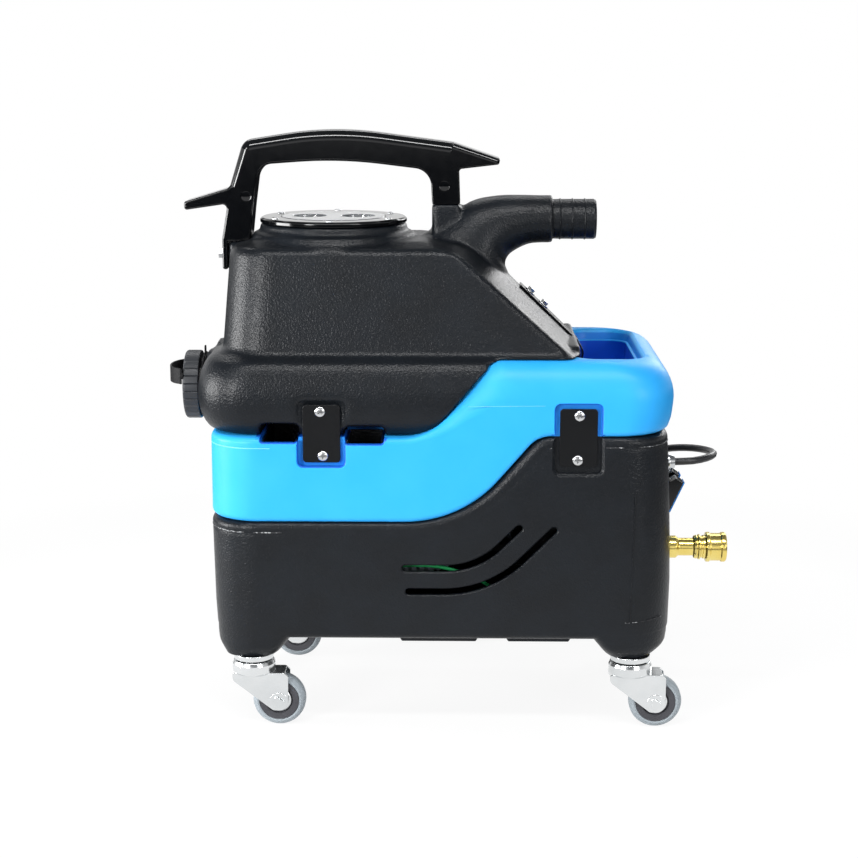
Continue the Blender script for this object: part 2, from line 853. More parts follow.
@dataclass(frozen=True)
class Seam:
    """A seam that steps up once along the machine, rounded at its foot and head."""

    low: float
    high: float
    foot: float
    head: float
    foot_radius: float
    head_radius: float

    def at(self, x: float) -> tuple[float, float]:
        """Gives the seam's course at a place along the machine.

        Args:
            x: the place.

        Returns:
            The height, and the angle in radians.
        """
        slope = math.atan2(self.high - self.low, self.head - self.foot)
        foot_run = self.foot_radius * math.tan(slope / 2)
        head_run = self.head_radius * math.tan(slope / 2)
        if x <= self.foot - foot_run:
            return self.low, 0.0
        if x >= self.head + head_run:
            return self.high, 0.0
        if x < self.foot + foot_run * math.cos(slope):
            tilt = math.asin((x - self.foot + foot_run) / self.foot_radius)
            return self.low + self.foot_radius * (1 - math.cos(tilt)), tilt
        if x > self.head - head_run * math.cos(slope):
            tilt = math.asin((self.head + head_run - x) / self.head_radius)
            return self.high - self.head_radius * (1 - math.cos(tilt)), tilt
        return self.low + (x - self.foot) * math.tan(slope), slope


@dataclass(frozen=True)
class PlateSite:
    """Where a bracket plate sits on the side, and the pocket round it."""

    x: float
    z: float
    seat: float
    width: float
    low: float
    high: float
    lean: float


@dataclass(frozen=True)
class Notch:
    """A notch in the tanks' shared seam, open to the inside."""

    x: float
    width: float
    low: float
    high: float
    floor: float


BASE_SEAM = Seam(206.5, 289.0, 18.3, 96.9, 128.0, 30.0)
TANK_SEAM = Seam(287.0, 357.5, -11.3, 48.3, 58.0, 38.0)
LEFT_PLATE = PlateSite(-112.0, 290.7, 120.5, 44.0, 260.0, 321.0, -1.2)
RIGHT_PLATE = PlateSite(126.9, 288.1, 123.5, 43.4, 254.0, 320.0, 0.6)
NOTCHES = (Notch(-151.5, 36.0, 282.6, 299.3, 14.0), Notch(-72.1, 37.0, 281.3, 296.5, 70.0))


def table(z: float, rows: Sequence[tuple[float, ...]]) -> tuple[float, ...]:
    """Reads a table of heights and values, in straight lines between its rows.

    Args:
        z: the height.
        rows: rows of a height and its values, from low to high.

    Returns:
        The values at the height.
    """
    if z <= rows[0][0]:
        return rows[0][1:]
    for low, high in zip(rows, rows[1:]):
        if z <= high[0]:
            share = (z - low[0]) / (high[0] - low[0])
            return tuple(lerp(a, b, share) for a, b in zip(low[1:], high[1:]))
    return rows[-1][1:]


def plan_points() -> list[Point2]:
    """Draws the body block's outline, anticlockwise, close-set along its sides.

    Returns:
        The outline's points.
    """
    x0, y0 = BODY_HALF_LENGTH - BODY_CORNER, BODY_HALF_WIDTH - BODY_CORNER
    side = [-x0 + 2 * x0 * k / 88 for k in range(1, 88)]
    end = [-y0 + 2 * y0 * k / 8 for k in range(1, 8)]

    def bend(sx: int, sy: int, start: float) -> list[Point2]:
        """Gives one corner's points."""
        return round_points(sx * x0, sy * y0, BODY_CORNER, [start + a for a in quarter(12)])

    return ([(x, -BODY_HALF_WIDTH) for x in side] + bend(1, -1, -QUARTER_TURN)
            + [(BODY_HALF_LENGTH, y) for y in end] + bend(1, 1, 0.0)
            + [(-x, BODY_HALF_WIDTH) for x in side] + bend(-1, 1, QUARTER_TURN)
            + [(-BODY_HALF_LENGTH, -y) for y in end] + bend(-1, -1, HALF_TURN))


PLAN = plan_points()


def squeezed(x: float, y: float, left: float, right: float, side: float) -> Point2:
    """Draws a point of the plan inwards.

    Args:
        x: the point's place along the machine.
        y: its place across it.
        left: how far the low end is drawn in.
        right: how far the hose end is drawn in.
        side: how far the sides are drawn in.

    Returns:
        The new point.
    """
    end = min(1.0, abs(x) / (BODY_HALF_LENGTH - BODY_CORNER))
    flank = min(1.0, abs(y) / (BODY_HALF_WIDTH - BODY_CORNER))
    return (x + left * end if x < 0 else x - right * end,
            y + side * flank if y < 0 else y - side * flank)


# ---------------------------------------------------------------- studio

@dataclass(frozen=True)
class SoftBox:
    """A rectangular lamp: its place and target, its width and height in metres and its power."""

    name: str
    place: tuple[float, float, float]
    target: tuple[float, float, float]
    size: Point2
    power: float

    def hang(self) -> None:
        """Hangs the lamp."""
        data = bpy.data.lights.new(self.name, "AREA")
        data.shape = "RECTANGLE"
        data.size, data.size_y = self.size
        data.energy = self.power
        lamp = show(self.name, data)
        lamp.location = self.place
        aim = Vector(self.target) - Vector(self.place)
        lamp.rotation_euler = aim.to_track_quat("-Z", "Y").to_euler()


@dataclass
class Studio:
    """The pale floor, the soft lights and the camera.

    A fade is given by its two ends: metres from the middle on the floor, and the sine of the
    height over the horizon on the wall.
    """

    camera_place: tuple[float, float, float] = (0.01370, -1.800, 0.642)
    camera_tilt: float = 11.67
    camera_turn: float = 1.0
    lens: float = 77.41
    boxes: tuple[SoftBox, ...] = (
        SoftBox("key", (-1.25, -1.7, 0.7), (-0.05, -0.1, 0.33), (0.5, 0.7), 30.0),
        SoftBox("low_end", (-1.7, -0.25, 0.45), (-0.1, 0.0, 0.3), (0.8, 0.7), 30.0),
        SoftBox("fill", (1.5, -2.1, 0.9), (0.0, 0.0, 0.25), (0.8, 0.8), 18.0),
        SoftBox("strip_front", (0.0, -1.15, 2.1), (0.0, 0.0, 0.45), (2.4, 0.22), 38.0),
        SoftBox("strip_back", (0.0, 1.7, 2.2), (0.0, 0.0, 0.45), (2.6, 0.4), 20.0),
        SoftBox("back", (1.2, 2.0, 1.25), (0.0, 0.0, 0.35), (0.9, 0.9), 16.0))
    paper_size: float = 14.0
    paper: str = "#F4F4F4"
    past_paper: str = "#404143"
    paper_fade: Point2 = (0.62, 1.1)
    shadow_fade: Point2 = (0.42, 0.95)
    sky: str = "#EEF2F8"
    sky_power: float = 0.18
    wall_fade: Point2 = (0.22, 0.45)

    def build(self) -> None:
        """Builds the whole studio."""
        self._camera()
        self._floor()
        self._world()
        for box in self.boxes:
            box.hang()
        bpy.context.scene.view_settings.view_transform = "Standard"
        LOG.info("studio ready")

    def _camera(self) -> None:
        """Sets the camera."""
        data = bpy.data.cameras.new("camera")
        data.sensor_width = 36.0
        data.lens = self.lens
        data.clip_end = 50.0
        camera = show("camera", data)
        camera.location = self.camera_place
        camera.rotation_euler = (math.radians(90 - self.camera_tilt), 0.0,
                                 math.radians(self.camera_turn))
        bpy.context.scene.camera = camera

    @staticmethod
    def _seen(tree: Tree, mirrored: Socket) -> Socket:
        """Gives how much of the white a ray sees, straight, mirrored or through clear plastic.

        Args:
            tree: the tree.
            mirrored: one where mirrors and clear plastic see the white too.

        Returns:
            The share of white.
        """
        path = tree.add("LightPath", {}).outputs
        bent = tree.sum(path["Is Glossy Ray"], path["Is Transmission Ray"])
        return tree.sum(tree.product(bent, mirrored), path["Is Camera Ray"])

    def _floor(self) -> None:
        """Lays white paper that keeps the shadow and ends in grey, which only mirrors show."""
        paper = Solid("studio_floor")
        bmesh.ops.create_grid(paper.bm, x_segments=1, y_segments=1, size=self.paper_size)
        material = bpy.data.materials.new("white_paper_floor")
        tree = Tree(material)
        away = tree.add("VectorMath", {0: tree.place()}, operation="LENGTH").outputs["Value"]
        near = tree.spread(away, *self.paper_fade, 1.0, 0.0)
        matt = tree.add("BsdfDiffuse", {
            "Color": tree.blend(near, linear(self.past_paper), self.paper)})
        glow = tree.add("Emission", {"Color": (1, 1, 1, 1), "Strength": 1.0})
        share = tree.product(self._seen(tree, near),
                             tree.spread(away, *self.shadow_fade, 0.9, 1.0))
        mixed = tree.add("MixShader", {0: share, 1: matt.outputs[0], 2: glow.outputs[0]})
        tree.add("OutputMaterial", {"Surface": mixed.outputs[0]})
        floor = paper.object(heal=False)
        floor.data.materials.append(material)

    def _world(self) -> None:
        """Sets a white wall, of which mirrors show the foot, and a dim even light above it."""
        world = bpy.data.worlds.new("studio_world")
        tree = Tree(world)
        soft = tree.add("Background", {"Color": linear(self.sky), "Strength": self.sky_power})
        white = tree.add("Background", {"Color": (1, 1, 1, 1), "Strength": 1.0})
        up = tree.add("SeparateXYZ", {0: tree.place("Generated")}).outputs["Z"]
        foot = tree.spread(up, *self.wall_fade, 1.0, 0.0)
        mixed = tree.add("MixShader", {0: self._seen(tree, foot), 1: soft.outputs[0],
                                       2: white.outputs[0]})
        tree.add("OutputWorld", {"Surface": mixed.outputs[0]})
        bpy.context.scene.world = world


# ---------------------------------------------------------------- power cord

@dataclass
class PowerCord:
    """The mains cord: a loose loop off the end wall, then a wound coil behind the machine."""

    diameter: float = 7.6
    length: float = 6.0
    coil_x: float = 30.0
    coil_y: float = 232.5
    turn_radii: tuple[float, ...] = (57.6, 49.9, 42.2, 34.5)
    pitch: float = 7.7
    layers: int = 4
    last_turns: int = 2
    points_a_turn: int = 28
    step_share: float = 0.2
    route: tuple[tuple[float, float, float], ...] = (
        (235.4, 35, 230), (254, 36.5, 230.6), (268, 45, 231.5), (277, 60, 231.5),
        (279, 78, 230.5), (273, 98, 229), (259, 116, 227), (240, 131, 223), (218, 143, 215),
        (196, 152, 198), (178, 158, 170), (165, 161, 132), (155, 163, 92), (145, 164.5, 55),
        (136, 166, 28), (122, 169, 13), (104, 174, 5), (88, 178.5, 3.9), (72.5, 179.5, 3.9),
        (52, 176.6, 3.9))
    to_plug: tuple[tuple[float, float, float], ...] = (
        (-17.0, 254.0, 46.0), (-11.0, 268.0, 49.6), (-1.5, 276.2, 51.8), (6.0, 278.5, 52.3))

    def _around(self, radius: float, angle: float, z: float) -> Vector:
        """Gives a point round the coil's middle."""
        return Vector((self.coil_x + radius * math.cos(angle),
                       self.coil_y + radius * math.sin(angle), z))

    def _coil(self) -> list[Vector]:
        """Winds the coil layer on layer, each turn stepping over in the same sector.

        Returns:
            The coil's points.
        """
        points = []
        count = len(self.turn_radii)
        for layer in range(self.layers + 1):
            z = self.diameter / 2 + 0.1 + layer * self.pitch
            radii = self.turn_radii if layer % 2 == 0 else self.turn_radii[::-1]
            for turn in range(count if layer < self.layers else self.last_turns):
                following = radii[turn + 1] if turn + 1 < count else radii[turn]
                rise = self.pitch if turn + 1 == count else 0.0
                for k in range(self.points_a_turn):
                    share = k / self.points_a_turn
                    ease = eased(max(0.0, (share - 1 + self.step_share) / self.step_share))
                    points.append(self._around(lerp(radii[turn], following, ease),
                                               -QUARTER_TURN - FULL_TURN * share, z + rise * ease))
        return points

    def _path(self) -> list[Vector]:
        """Draws the whole middle line, from the gland to the plug.

        Returns:
            The line's points, in metres in the frame's place.
        """
        coil = self._coil()
        lift = [self._around(self.turn_radii[1], -QUARTER_TURN - 0.25 * k,
                             coil[-1].z + 0.35 * k * k * 0.55) for k in range(1, 5)]
        end = smooth_line([coil[-2], coil[-1]] + lift + [Vector(p) for p in self.to_plug], 7.0)
        return [Vector(((p.x + BODY_TO_FRAME) * MM, p.y * MM, p.z * MM))
                for p in smooth_line(self.route, 9.0) + coil + end[2:]]

    def build(self) -> None:
        """Builds the cord and its plug."""
        plug = CordPlug().build()
        path = self._path()
        data = bpy.data.curves.new("power_cord_line", "CURVE")
        data.dimensions = "3D"
        data.bevel_depth = self.diameter / 2 * MM
        data.bevel_resolution = 4
        data.use_fill_caps = True
        line = data.splines.new("POLY")
        line.points.add(len(path) - 1)
        for place, point in zip(line.points, path):
            place.co = (*point, 1.0)
        line.use_smooth = True
        data.materials.append(CORD_VINYL.material())
        cord = show("power_cord_line", data)
        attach(cord, MACHINE)
        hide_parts("power_cord", "cord_coil")
        LOG.info("%s: %d points", cord.name, len(path))


@dataclass
class CordPlug:
    """A moulded plug with two flat blades and an earth pin, lying on the coil."""

    x: float = 21.0
    y: float = 278.5
    level: float = 52.3
    length: float = 34.0
    thick: float = 24.0
    grip: tuple[Corner, ...] = ((0, -13.6, 5), (12, -12.2, 9), (34, -16.8, 4), (34, 16.8, 4),
                                (12, 12.2, 9), (0, 13.6, 5))
    blade_across: float = 6.35
    relief_rings: int = 5
    relief_pitch: float = 4.6

    def build(self) -> list[bpy.types.Object]:
        """Builds the plug's grip with its ribbed relief, and its blades.

        Returns:
            The plug's two objects.
        """
        here = at(self.x, self.y, self.level)
        grip = Solid("plug_grip").prism(rounded(self.grip), -self.thick / 2 + 0.2,
                                        self.thick / 2 - 0.2, here, 3.2, 4)
        relief: list[Corner] = [(0, -26), (4.5, -26, 0.5)]
        for k in range(self.relief_rings):
            x, wide = -23.0 + self.relief_pitch * k, lerp(5.0, 7.2, k / (self.relief_rings - 1))
            relief += [(wide, x, 0.4), (wide, x + 2.6, 0.4),
                       (wide - 0.9, x + 2.9, 0.2), (wide - 0.9, x + 4.2, 0.2)]
        relief += [(7.6, 0.6, 0.3), (7.6, 3.0), (0, 3.0)]
        grip.join(Solid().lathe(relief, 36, here @ ALONG_X))
        pins = Solid("plug_blades")
        for side in SIDES:
            pins.prism(box_outline(side * self.blade_across, -0.55, 6.3, 1.5, 0.3),
                       self.length - 1, self.length + 16, here @ FACING_X, 0.35, 2)
        pins.lathe([(0, -1), (2.4, -1), (2.4, 19, 1.6), (0, 19)], 24,
                   here @ at(self.length, 0, 6.2) @ ALONG_X)
        return [grip.publish(CORD_VINYL, "cord_plug", sharp=36), pins.publish(BRASS, sharp=36)]


# ---------------------------------------------------------------- base

@dataclass
class BaseShell:
    """The black base: walls with a rolled lip along the seam, four legs and two vents a side."""

    wall: float = 5.0
    edge: float = 7.0
    lip: float = 6.5
    parting: float = 9.6                 # the parting line's distance below the seam
    parting_x: float = 178.0
    parting_turn: float = 112.0          # the height at which it leaves for the end wall
    vents: tuple[tuple[float, ...], ...] = (
        (-34, 162.3, 33, 72.5, 201.5, 72), (-31, 139.6, 45, 105, 199.5, 104))
    vent_width: float = 6.5
    vent_edge: float = 1.3
    vent_depth: float = 15.0
    leg_size: Point2 = (62.0, 61.0)
    leg_gap: Point2 = (3.4, 2.6)         # from the body's ends and sides
    leg_corner: float = 42.0
    flash_radius: float = 0.38
    leg_rows: tuple[tuple[float, ...], ...] = (
        (72.0, 17.0, 3.5), (72.8, 15.4, 1.6), (75.8, 10.4, -1.6), (78.8, 5.8, -4.0),
        (81.4, 2.8, -6.0), (84.6, 1.0, -8.4), (92.0, -0.2, -14.5), (97.0, -0.4, -20.5),
        (99.5, 1.2, -21.5), (104.0, 2.0, -22.0))
    lean_rows: tuple[tuple[float, ...], ...] = (
        (92, 3.0, 2.5, 2.0), (117, 1.5, 0.5, 1.0), (206.5, 0.0, 2.5, 0.0), (289, 0.3, 7.0, 0.2))

    def _ring(self, follow: float, flat: float, offset: float, inset: float) -> list[Vector]:
        """Gives one ring of the walls.

        Args:
            follow: zero for a flat ring, one for one that follows the seam.
            flat: the flat ring's height.
            offset: the ring's distance above the seam, square to it.
            inset: how far the ring is drawn in from the wall's face.

        Returns:
            The ring's points.
        """
        ring = []
        for x, y in PLAN:
            height, tilt = BASE_SEAM.at(x)
            z = lerp(flat, height + offset * math.cos(tilt), follow)
            left, right, side = table(z, self.lean_rows)
            px, py = squeezed(x, y, left + inset, right + inset, side + inset)
            ring.append(Vector((px - follow * offset * math.sin(tilt), py, z)))
        return ring

    def _shell(self) -> Solid:
        """Builds the walls and hollows them.

        Returns:
            The walls.
        """
        w, edge = self.wall, FLOOR_LEVEL + self.edge
        foot = [self._ring(0, FLOOR_LEVEL + self.edge * (1 - math.cos(a)), 0,
                           self.edge * (1 - math.sin(a))) for a in quarter(5)]
        body = [self._ring(f, edge, -15.0, 0) for f in (0.25, 0.5, 0.75, 1.0)]
        groove = [self._ring(1, 0, offset, inset) for offset, inset in
                  ((-13.0, 0.0), (-11.5, 0.25), (-10.0, 0.3), (-8.6, 0.1))]
        roll = [self._ring(1, 0, -self.lip * (1 - math.sin(a)),
                           self.lip * (1 - math.cos(a)) * 0.85) for a in quarter(6)]
        shell = Solid("base_shell").loft(
            [self._ring(0, FLOOR_LEVEL, 0, 14.0)] + foot + body + groove + roll
            + [self._ring(1, 0, 0, 13.0)], Cap.FLAT, Cap.RIDGE)
        hollow = Solid().loft(
            [self._ring(0, 80.0, 0, w + 2), self._ring(0, FLOOR_LEVEL + 8, 0, w)]
            + [self._ring(f, FLOOR_LEVEL + 8, -w - 10, w) for f in (0.34, 0.67, 1.0)]
            + [self._ring(1, 0, -w - 2, w + 3)], Cap.FLAT, Cap.RIDGE)
        backing = Solid()
        for side in SIDES:
            site = RIGHT_PLATE
            backing.pocket(site.x, site.width + 2 * w, site.low - w, site.high + w,
                           site.seat - w, BODY_HALF_WIDTH, side)
        return shell.take(hollow.take(backing))

    def _legs(self) -> Solid:
        """Builds the four legs, rounded outside and leaning to their feet inside.

        Returns:
            The legs.
        """
        legs = Solid()
        for sx in SIDES:
            for sy in SIDES:
                rings = []
                for z, out, inn in self.leg_rows:
                    x0 = BODY_HALF_LENGTH - self.leg_size[0] + inn
                    y0 = BODY_HALF_WIDTH - self.leg_size[1] + inn
                    x1 = BODY_HALF_LENGTH - self.leg_gap[0] - out * (1.0 if sx > 0 else 0.55)
                    y1 = BODY_HALF_WIDTH - self.leg_gap[1] - 0.5 * out
                    corner = self.leg_corner - 1.4 * max(out, 0)
                    rings.append([Vector((sx * u, sy * v, z)) for u, v in rounded(
                        [(x0, y0, 9), (x1, y0, 12), (x1, y1, corner), (x0, y1, 12)], 8)])
                legs.loft(rings)
        return legs

    @staticmethod
    def _vent_ring(vent: tuple[float, ...], width: float, y: float) -> list[Vector]:
        """Gives a curved vent's outline at a depth.

        Args:
            vent: start, level, bend, end X, end Z and bend radius.
            width: the outline's width there.
            y: the depth.

        Returns:
            The outline's points.
        """
        start, level, bend, end_x, end_z, radius = vent
        rise = math.atan2(end_z - level, end_x - bend)
        run = bend - radius * math.tan(rise / 2)
        half, low = width / 2, -QUARTER_TURN
        points: list[Point2] = []
        for cx, cz, r, a0, a1, steps in (
                (run, level + radius, radius + half, low, low + rise, 14),
                (end_x, end_z, half, low + rise, low + rise + HALF_TURN, 8),
                (run, level + radius, radius - half, low + rise, low, 14),
                (start, level, half, QUARTER_TURN, 1.5 * HALF_TURN, 8)):
            points += round_points(cx, cz, r, [lerp(a0, a1, k / steps) for k in range(steps + 1)])
        return [Vector((u, y, v)) for u, v in points]

    def _reliefs(self) -> Solid:
        """Builds the cutters for vents, plate pockets and end wall fittings.

        Returns:
            The cutters.
        """
        tool = Solid()
        for side in SIDES:
            for vent in self.vents:
                rings = [self._vent_ring(vent, self.vent_width,
                                         side * (BODY_HALF_WIDTH - self.vent_depth))]
                for a in quarter(4):
                    grow = self.vent_edge * (1 - math.sin(QUARTER_TURN - a))
                    rings.append(self._vent_ring(
                        vent, self.vent_width + 2 * grow,
                        side * (SIDE_FACE - self.vent_edge * math.cos(a))))
                rings.append(self._vent_ring(vent, self.vent_width + 2 * self.vent_edge,
                                             side * (SIDE_FACE + 8)))
                tool.loft(rings)
            site = RIGHT_PLATE
            tool.pocket(site.x, site.width, site.low, site.high, site.seat,
                        BODY_HALF_WIDTH - 0.2, side, 2.6)
        rockers = [box_outline(y, ROCKER_LEVEL, 23, 35, 2) for _, y in ROCKERS]
        for outline, low, high in (
                (box_outline(*PANEL, 74, 47, 4.5), 0, 12), (circle(*GLAND, 14.5), 0, 12),
                (circle(*COUPLER, 14), 3, 12), (rockers[0], -30, 1), (rockers[1], -30, 1),
                (circle(*COUPLER, 8.8, 24), -20, 4)):
            tool.prism(outline, END_WALL + low, END_WALL + high, FACING_X)
        return tool.prism(circle(TUNNEL_X, 0, TUNNEL_RADIUS, 40), 180, 260, UPRIGHT)

    def _flash(self) -> None:
        """Adds the parting line under the lip, and the one that drops to the floor."""
        flash = Solid("base_parting_line").loft(
            [self._ring(1, 0, offset - self.parting, inset) for offset, inset in
             ((-0.6, 0.4), (-0.45, -0.2), (0.0, -0.32), (0.45, -0.2), (0.6, 0.4), (0.0, 0.7))],
            Cap.OPEN, Cap.LOOP)
        trim = Solid()
        for side in SIDES:
            for middle, width in ((RIGHT_PLATE.x, RIGHT_PLATE.width + 7), (-25.0, 250.0),
                                  (176.0, 14.0), (-181.0, 9.0)):
                trim.prism(box_outline(middle, 245, width, 160, 3), -side * 100 - 60,
                           -side * 100 + 60, TO_FRONT)
        flash.take(trim, True).publish(PARTING_FLASH, weighted=False)
        ridge, line = Solid("base_side_ridge"), Solid("base_side_parting_line")
        for side in SIDES:
            heights = range(237, 110, -6)
            ridge.tube([Vector((self.parting_x + 0.02 * (z - 111), side * (
                BODY_HALF_WIDTH - table(z, self.lean_rows)[2] - 0.05), z)) for z in heights],
                [self.flash_radius] * len(heights), 8)
        x = BODY_HALF_LENGTH - BODY_CORNER - 1.0
        y = BODY_HALF_WIDTH - BODY_CORNER - table(self.parting_turn, self.lean_rows)[2]
        reach, full = BODY_CORNER + 0.05, self.flash_radius
        for side in SIDES:
            for start in (-0.05, 0.12, 0.3, 0.46, 0.62, 0.78):
                dash = [start + 0.035 * k for k in range(4)]
                line.tube([Vector((x + reach * math.sin(a), side * (y + reach * math.cos(a)),
                                   110 + 3 * a)) for a in dash], [0.2, full, full, 0.2], 8)
        ridge.publish(BLACK_TANK, weighted=False)
        line.publish(PARTING_FLASH, weighted=False)

    def build(self) -> None:
        """Builds the base."""
        shell = self._shell().join(self._legs()).take(self._reliefs(), True)
        shell.publish(BLACK_TANK, "base_housing")
        self._flash()
        dress(BLACK_TANK, "base_pan")


# ---------------------------------------------------------------- solution tank

@dataclass
class SolutionTank:
    """The blue tank: rolled lips on both seams, a broad crest and a filler mouth."""

    wall: float = 5.0
    lip: float = 6.0
    lip_across: float = 4.5
    lip_up: float = 5.5
    rim_across: float = 25.0
    rim_up: float = 36.0
    crest: Point2 = (-20.0, 75.0)        # where the crest starts, and how far it takes to grow
    liner: float = 1.6
    mouth: tuple[float, float, float] = (124.0, 191.0, 95.0)      # left, right, half width
    mouth_rows: tuple[tuple[float, float, float], ...] = (        # height, inset, corner
        (308, 5, 20), (345.5, 5, 20), (346.4, 4.6, 20), (346.8, 2.6, 22), (351, 2, 22),
        (353.6, 1.2, 23), (355.6, 0.2, 24), (356.8, -1.1, 25), (357.5, -2.8, 27),
        (360, -4.5, 29), (372, -6.0, 31))
    notch_rise: float = 30.0
    lean_rows: tuple[tuple[float, ...], ...] = (
        (206.5, 0.3, 4.0, 0.2), (287, 0.6, 9.5, 0.3), (293, 0.8, 6.8, 0.35),
        (303, 1.1, 3.6, 0.4), (319, 1.5, 1.8, 0.5), (357.5, 1.5, 1.8, 0.5))

    def _roll(self, x: float) -> tuple[float, float]:
        """Gives the top edge's roll, up and across, from a small lip to the broad crest."""
        share = eased(clamped((x - self.crest[0]) / self.crest[1]))
        return lerp(self.lip_up, self.rim_up, share), lerp(self.lip_across, self.rim_across, share)

    def _ring(self, rise: float, lift: float, roll: float, flat_in: float = 0.0,
              inset: float = 0.0) -> list[Vector]:
        """Gives one ring of the walls.

        Args:
            rise: zero at the lower seam and one at the upper.
            lift: the distance above the lower seam.
            roll: the angle along the top edge's roll, or negative for a wall's ring.
            flat_in: how far the ring goes on inwards past the roll.
            inset: how far the ring is drawn in.

        Returns:
            The ring's points.
        """
        ring = []
        angle = max(roll, 0.0)
        for x, y in PLAN:
            (foot, low_tilt), (top, top_tilt) = BASE_SEAM.at(x), TANK_SEAM.at(x)
            up, across = self._roll(x)
            drop = up * (1 - math.sin(angle)) + inset
            drawn = across * (1 - math.cos(angle)) + inset
            z = lerp(foot + lift * math.cos(low_tilt), top - drop * math.cos(top_tilt), rise)
            left, right, side = table(z, self.lean_rows)
            px, py = squeezed(x, y, left + drawn + flat_in, right + 1.2 * drawn + flat_in,
                              side + drawn + flat_in)
            px += rise * drop * math.sin(top_tilt) - (1 - rise) * lift * math.sin(low_tilt)
            ring.append(Vector((px, py, z)))
        return ring

    def _shell(self) -> Solid:
        """Builds the walls and hollows them.

        Returns:
            The walls.
        """
        w, wall_shares = self.wall, (0.25, 0.5, 0.75)
        foot = [self._ring(0, GAP + self.lip * (1 - math.cos(a)), -1, 0,
                           self.lip * 0.85 * (1 - math.sin(a))) for a in quarter(5)]
        body = [self._ring(share, GAP + self.lip, 0.0) for share in wall_shares]
        roll = [self._ring(1, 0, a) for a in quarter(10)]
        shell = Solid("solution_shell").loft(
            [self._ring(0, GAP, -1, 8.0, 5.0)] + foot + body + roll
            + [self._ring(1, 0, QUARTER_TURN, 3.0)], Cap.RIDGE, Cap.RIDGE)
        hollow = Solid().loft(
            [self._ring(0, w + 4, -1, 0, w)]
            + [self._ring(share, w + 6, 0.6, 6.0, w + 9) for share in wall_shares]
            + [self._ring(1, 0, 0.6, 8.0, w + 9)], Cap.RIDGE, Cap.RIDGE)
        return shell.take(hollow.take(self._recesses(w), True))

    def _recesses(self, grow: float) -> Solid:
        """Builds the mouth, the notches with the wells behind them and the plate pockets.

        Args:
            grow: how much larger they are, for the walls round them.

        Returns:
            The cutters.
        """
        tool = Solid()
        left, right, half = self.mouth
        rings = []
        for z, inset, radius in self.mouth_rows:
            x0, x1, y = left + inset - grow, right - inset + grow, half - inset + grow
            rings.append([Vector((u, v, z + 0.8 * grow)) for u, v in rounded(
                [(x0, -y, radius), (x1, -y, radius), (x1, y, radius), (x0, y, radius)], 8)])
        tool.loft(rings)
        tool.prism(circle(TUNNEL_X, 0, TUNNEL_RADIUS + grow, 48), 190, 320, UPRIGHT)
        for side in SIDES:
            for notch in NOTCHES:
                tool.pocket(notch.x, notch.width + 2 * grow, notch.low - grow,
                            notch.low + self.notch_rise, notch.floor - grow, SIDE_FACE, side,
                            1.3, 3.5)
                deep, near = notch.floor + 1 - grow, BODY_HALF_WIDTH - 7
                tool.prism(box_outline(notch.x, 281 - grow, notch.width - 2 + 2 * grow, 62, 3),
                           *span(side, deep, near), TO_FRONT)
            for site, below, above in ((LEFT_PLATE, grow, 60), (RIGHT_PLATE, 20, grow)):
                tool.pocket(site.x, site.width + 2 * grow, site.low - below, site.high + above,
                            site.seat - grow, SIDE_FACE, side, 1.4)
        return tool

    def _hollow(self, place: Vector, normal: Vector) -> float:
        """Tells how far a face lies in a hollow, where the blue looks fuller.

        Args:
            place: the face's middle.
            normal: its direction.

        Returns:
            Zero outside, and up to one in the mouth.
        """
        x, y, z = place
        left, right, half = self.mouth
        if left - 1 < x < right + 1 and abs(y) < half + 1 and z < 352.4:
            return 1.0 if z < 345 else 0.15 if z < 347.2 else 0.5
        sites = [(s.x, s.width, s.low, s.high) for s in (LEFT_PLATE, RIGHT_PLATE)]
        sites += [(n.x, n.width, n.low, n.low + self.notch_rise) for n in NOTCHES]
        margin = 1.5
        if abs(y) < BODY_HALF_WIDTH - 1.1 and any(
                abs(x - x0) < width / 2 + margin and low - margin < z < high + margin
                for x0, width, low, high in sites):
            return 0.5 if abs(normal.y) > 0.9 else 0.9
        return 0.0

    def _under_lip(self, down: float, out: float) -> list[Vector]:
        """Gives a ring on the walls, a distance below the top edge.

        Args:
            down: how far below the seam above.
            out: how far it stands off the walls.

        Returns:
            The ring's points.
        """
        ring = []
        for x, y in PLAN:
            up, across = self._roll(x)
            drawn = across * (1 - math.cos(math.asin(max(0.0, 1 - down / up)))) - out
            height, tilt = TANK_SEAM.at(x)
            z = height - down * math.cos(tilt)
            left, right, side = table(z, self.lean_rows)
            px, py = squeezed(x, y, left + drawn, right + drawn, side + drawn)
            ring.append(Vector((px + down * math.sin(tilt), py, z)))
        return ring

    def _flash(self) -> None:
        """Adds the parting line under the lip at the low end, and its trace on the high part."""
        flash = Solid("blue_parting_line").loft([self._under_lip(9.5 + d, out) for d, out in (
            (0.5, -0.5), (0.4, 0.15), (0.0, 0.25), (-0.4, 0.15), (-0.5, -0.5), (0.0, -0.8))],
            Cap.OPEN, Cap.LOOP)
        trim = Solid().prism(box_outline(66.5, 310, 453, 160, 3), -160, 160, TO_FRONT)
        flash.take(trim).publish(BLUE_FLASH, weighted=False)
        trace = Solid("blue_trace_line")
        for side in SIDES:
            line = [Vector((x, side * (BODY_HALF_WIDTH - 0.52), 317.5 + 0.012 * x))
                    for x in range(24, 100, 4)]
            trace.tube(line, [0.15] + [0.3] * (len(line) - 2) + [0.15], 8)
        trace.publish(BLUE_FLASH, weighted=False)

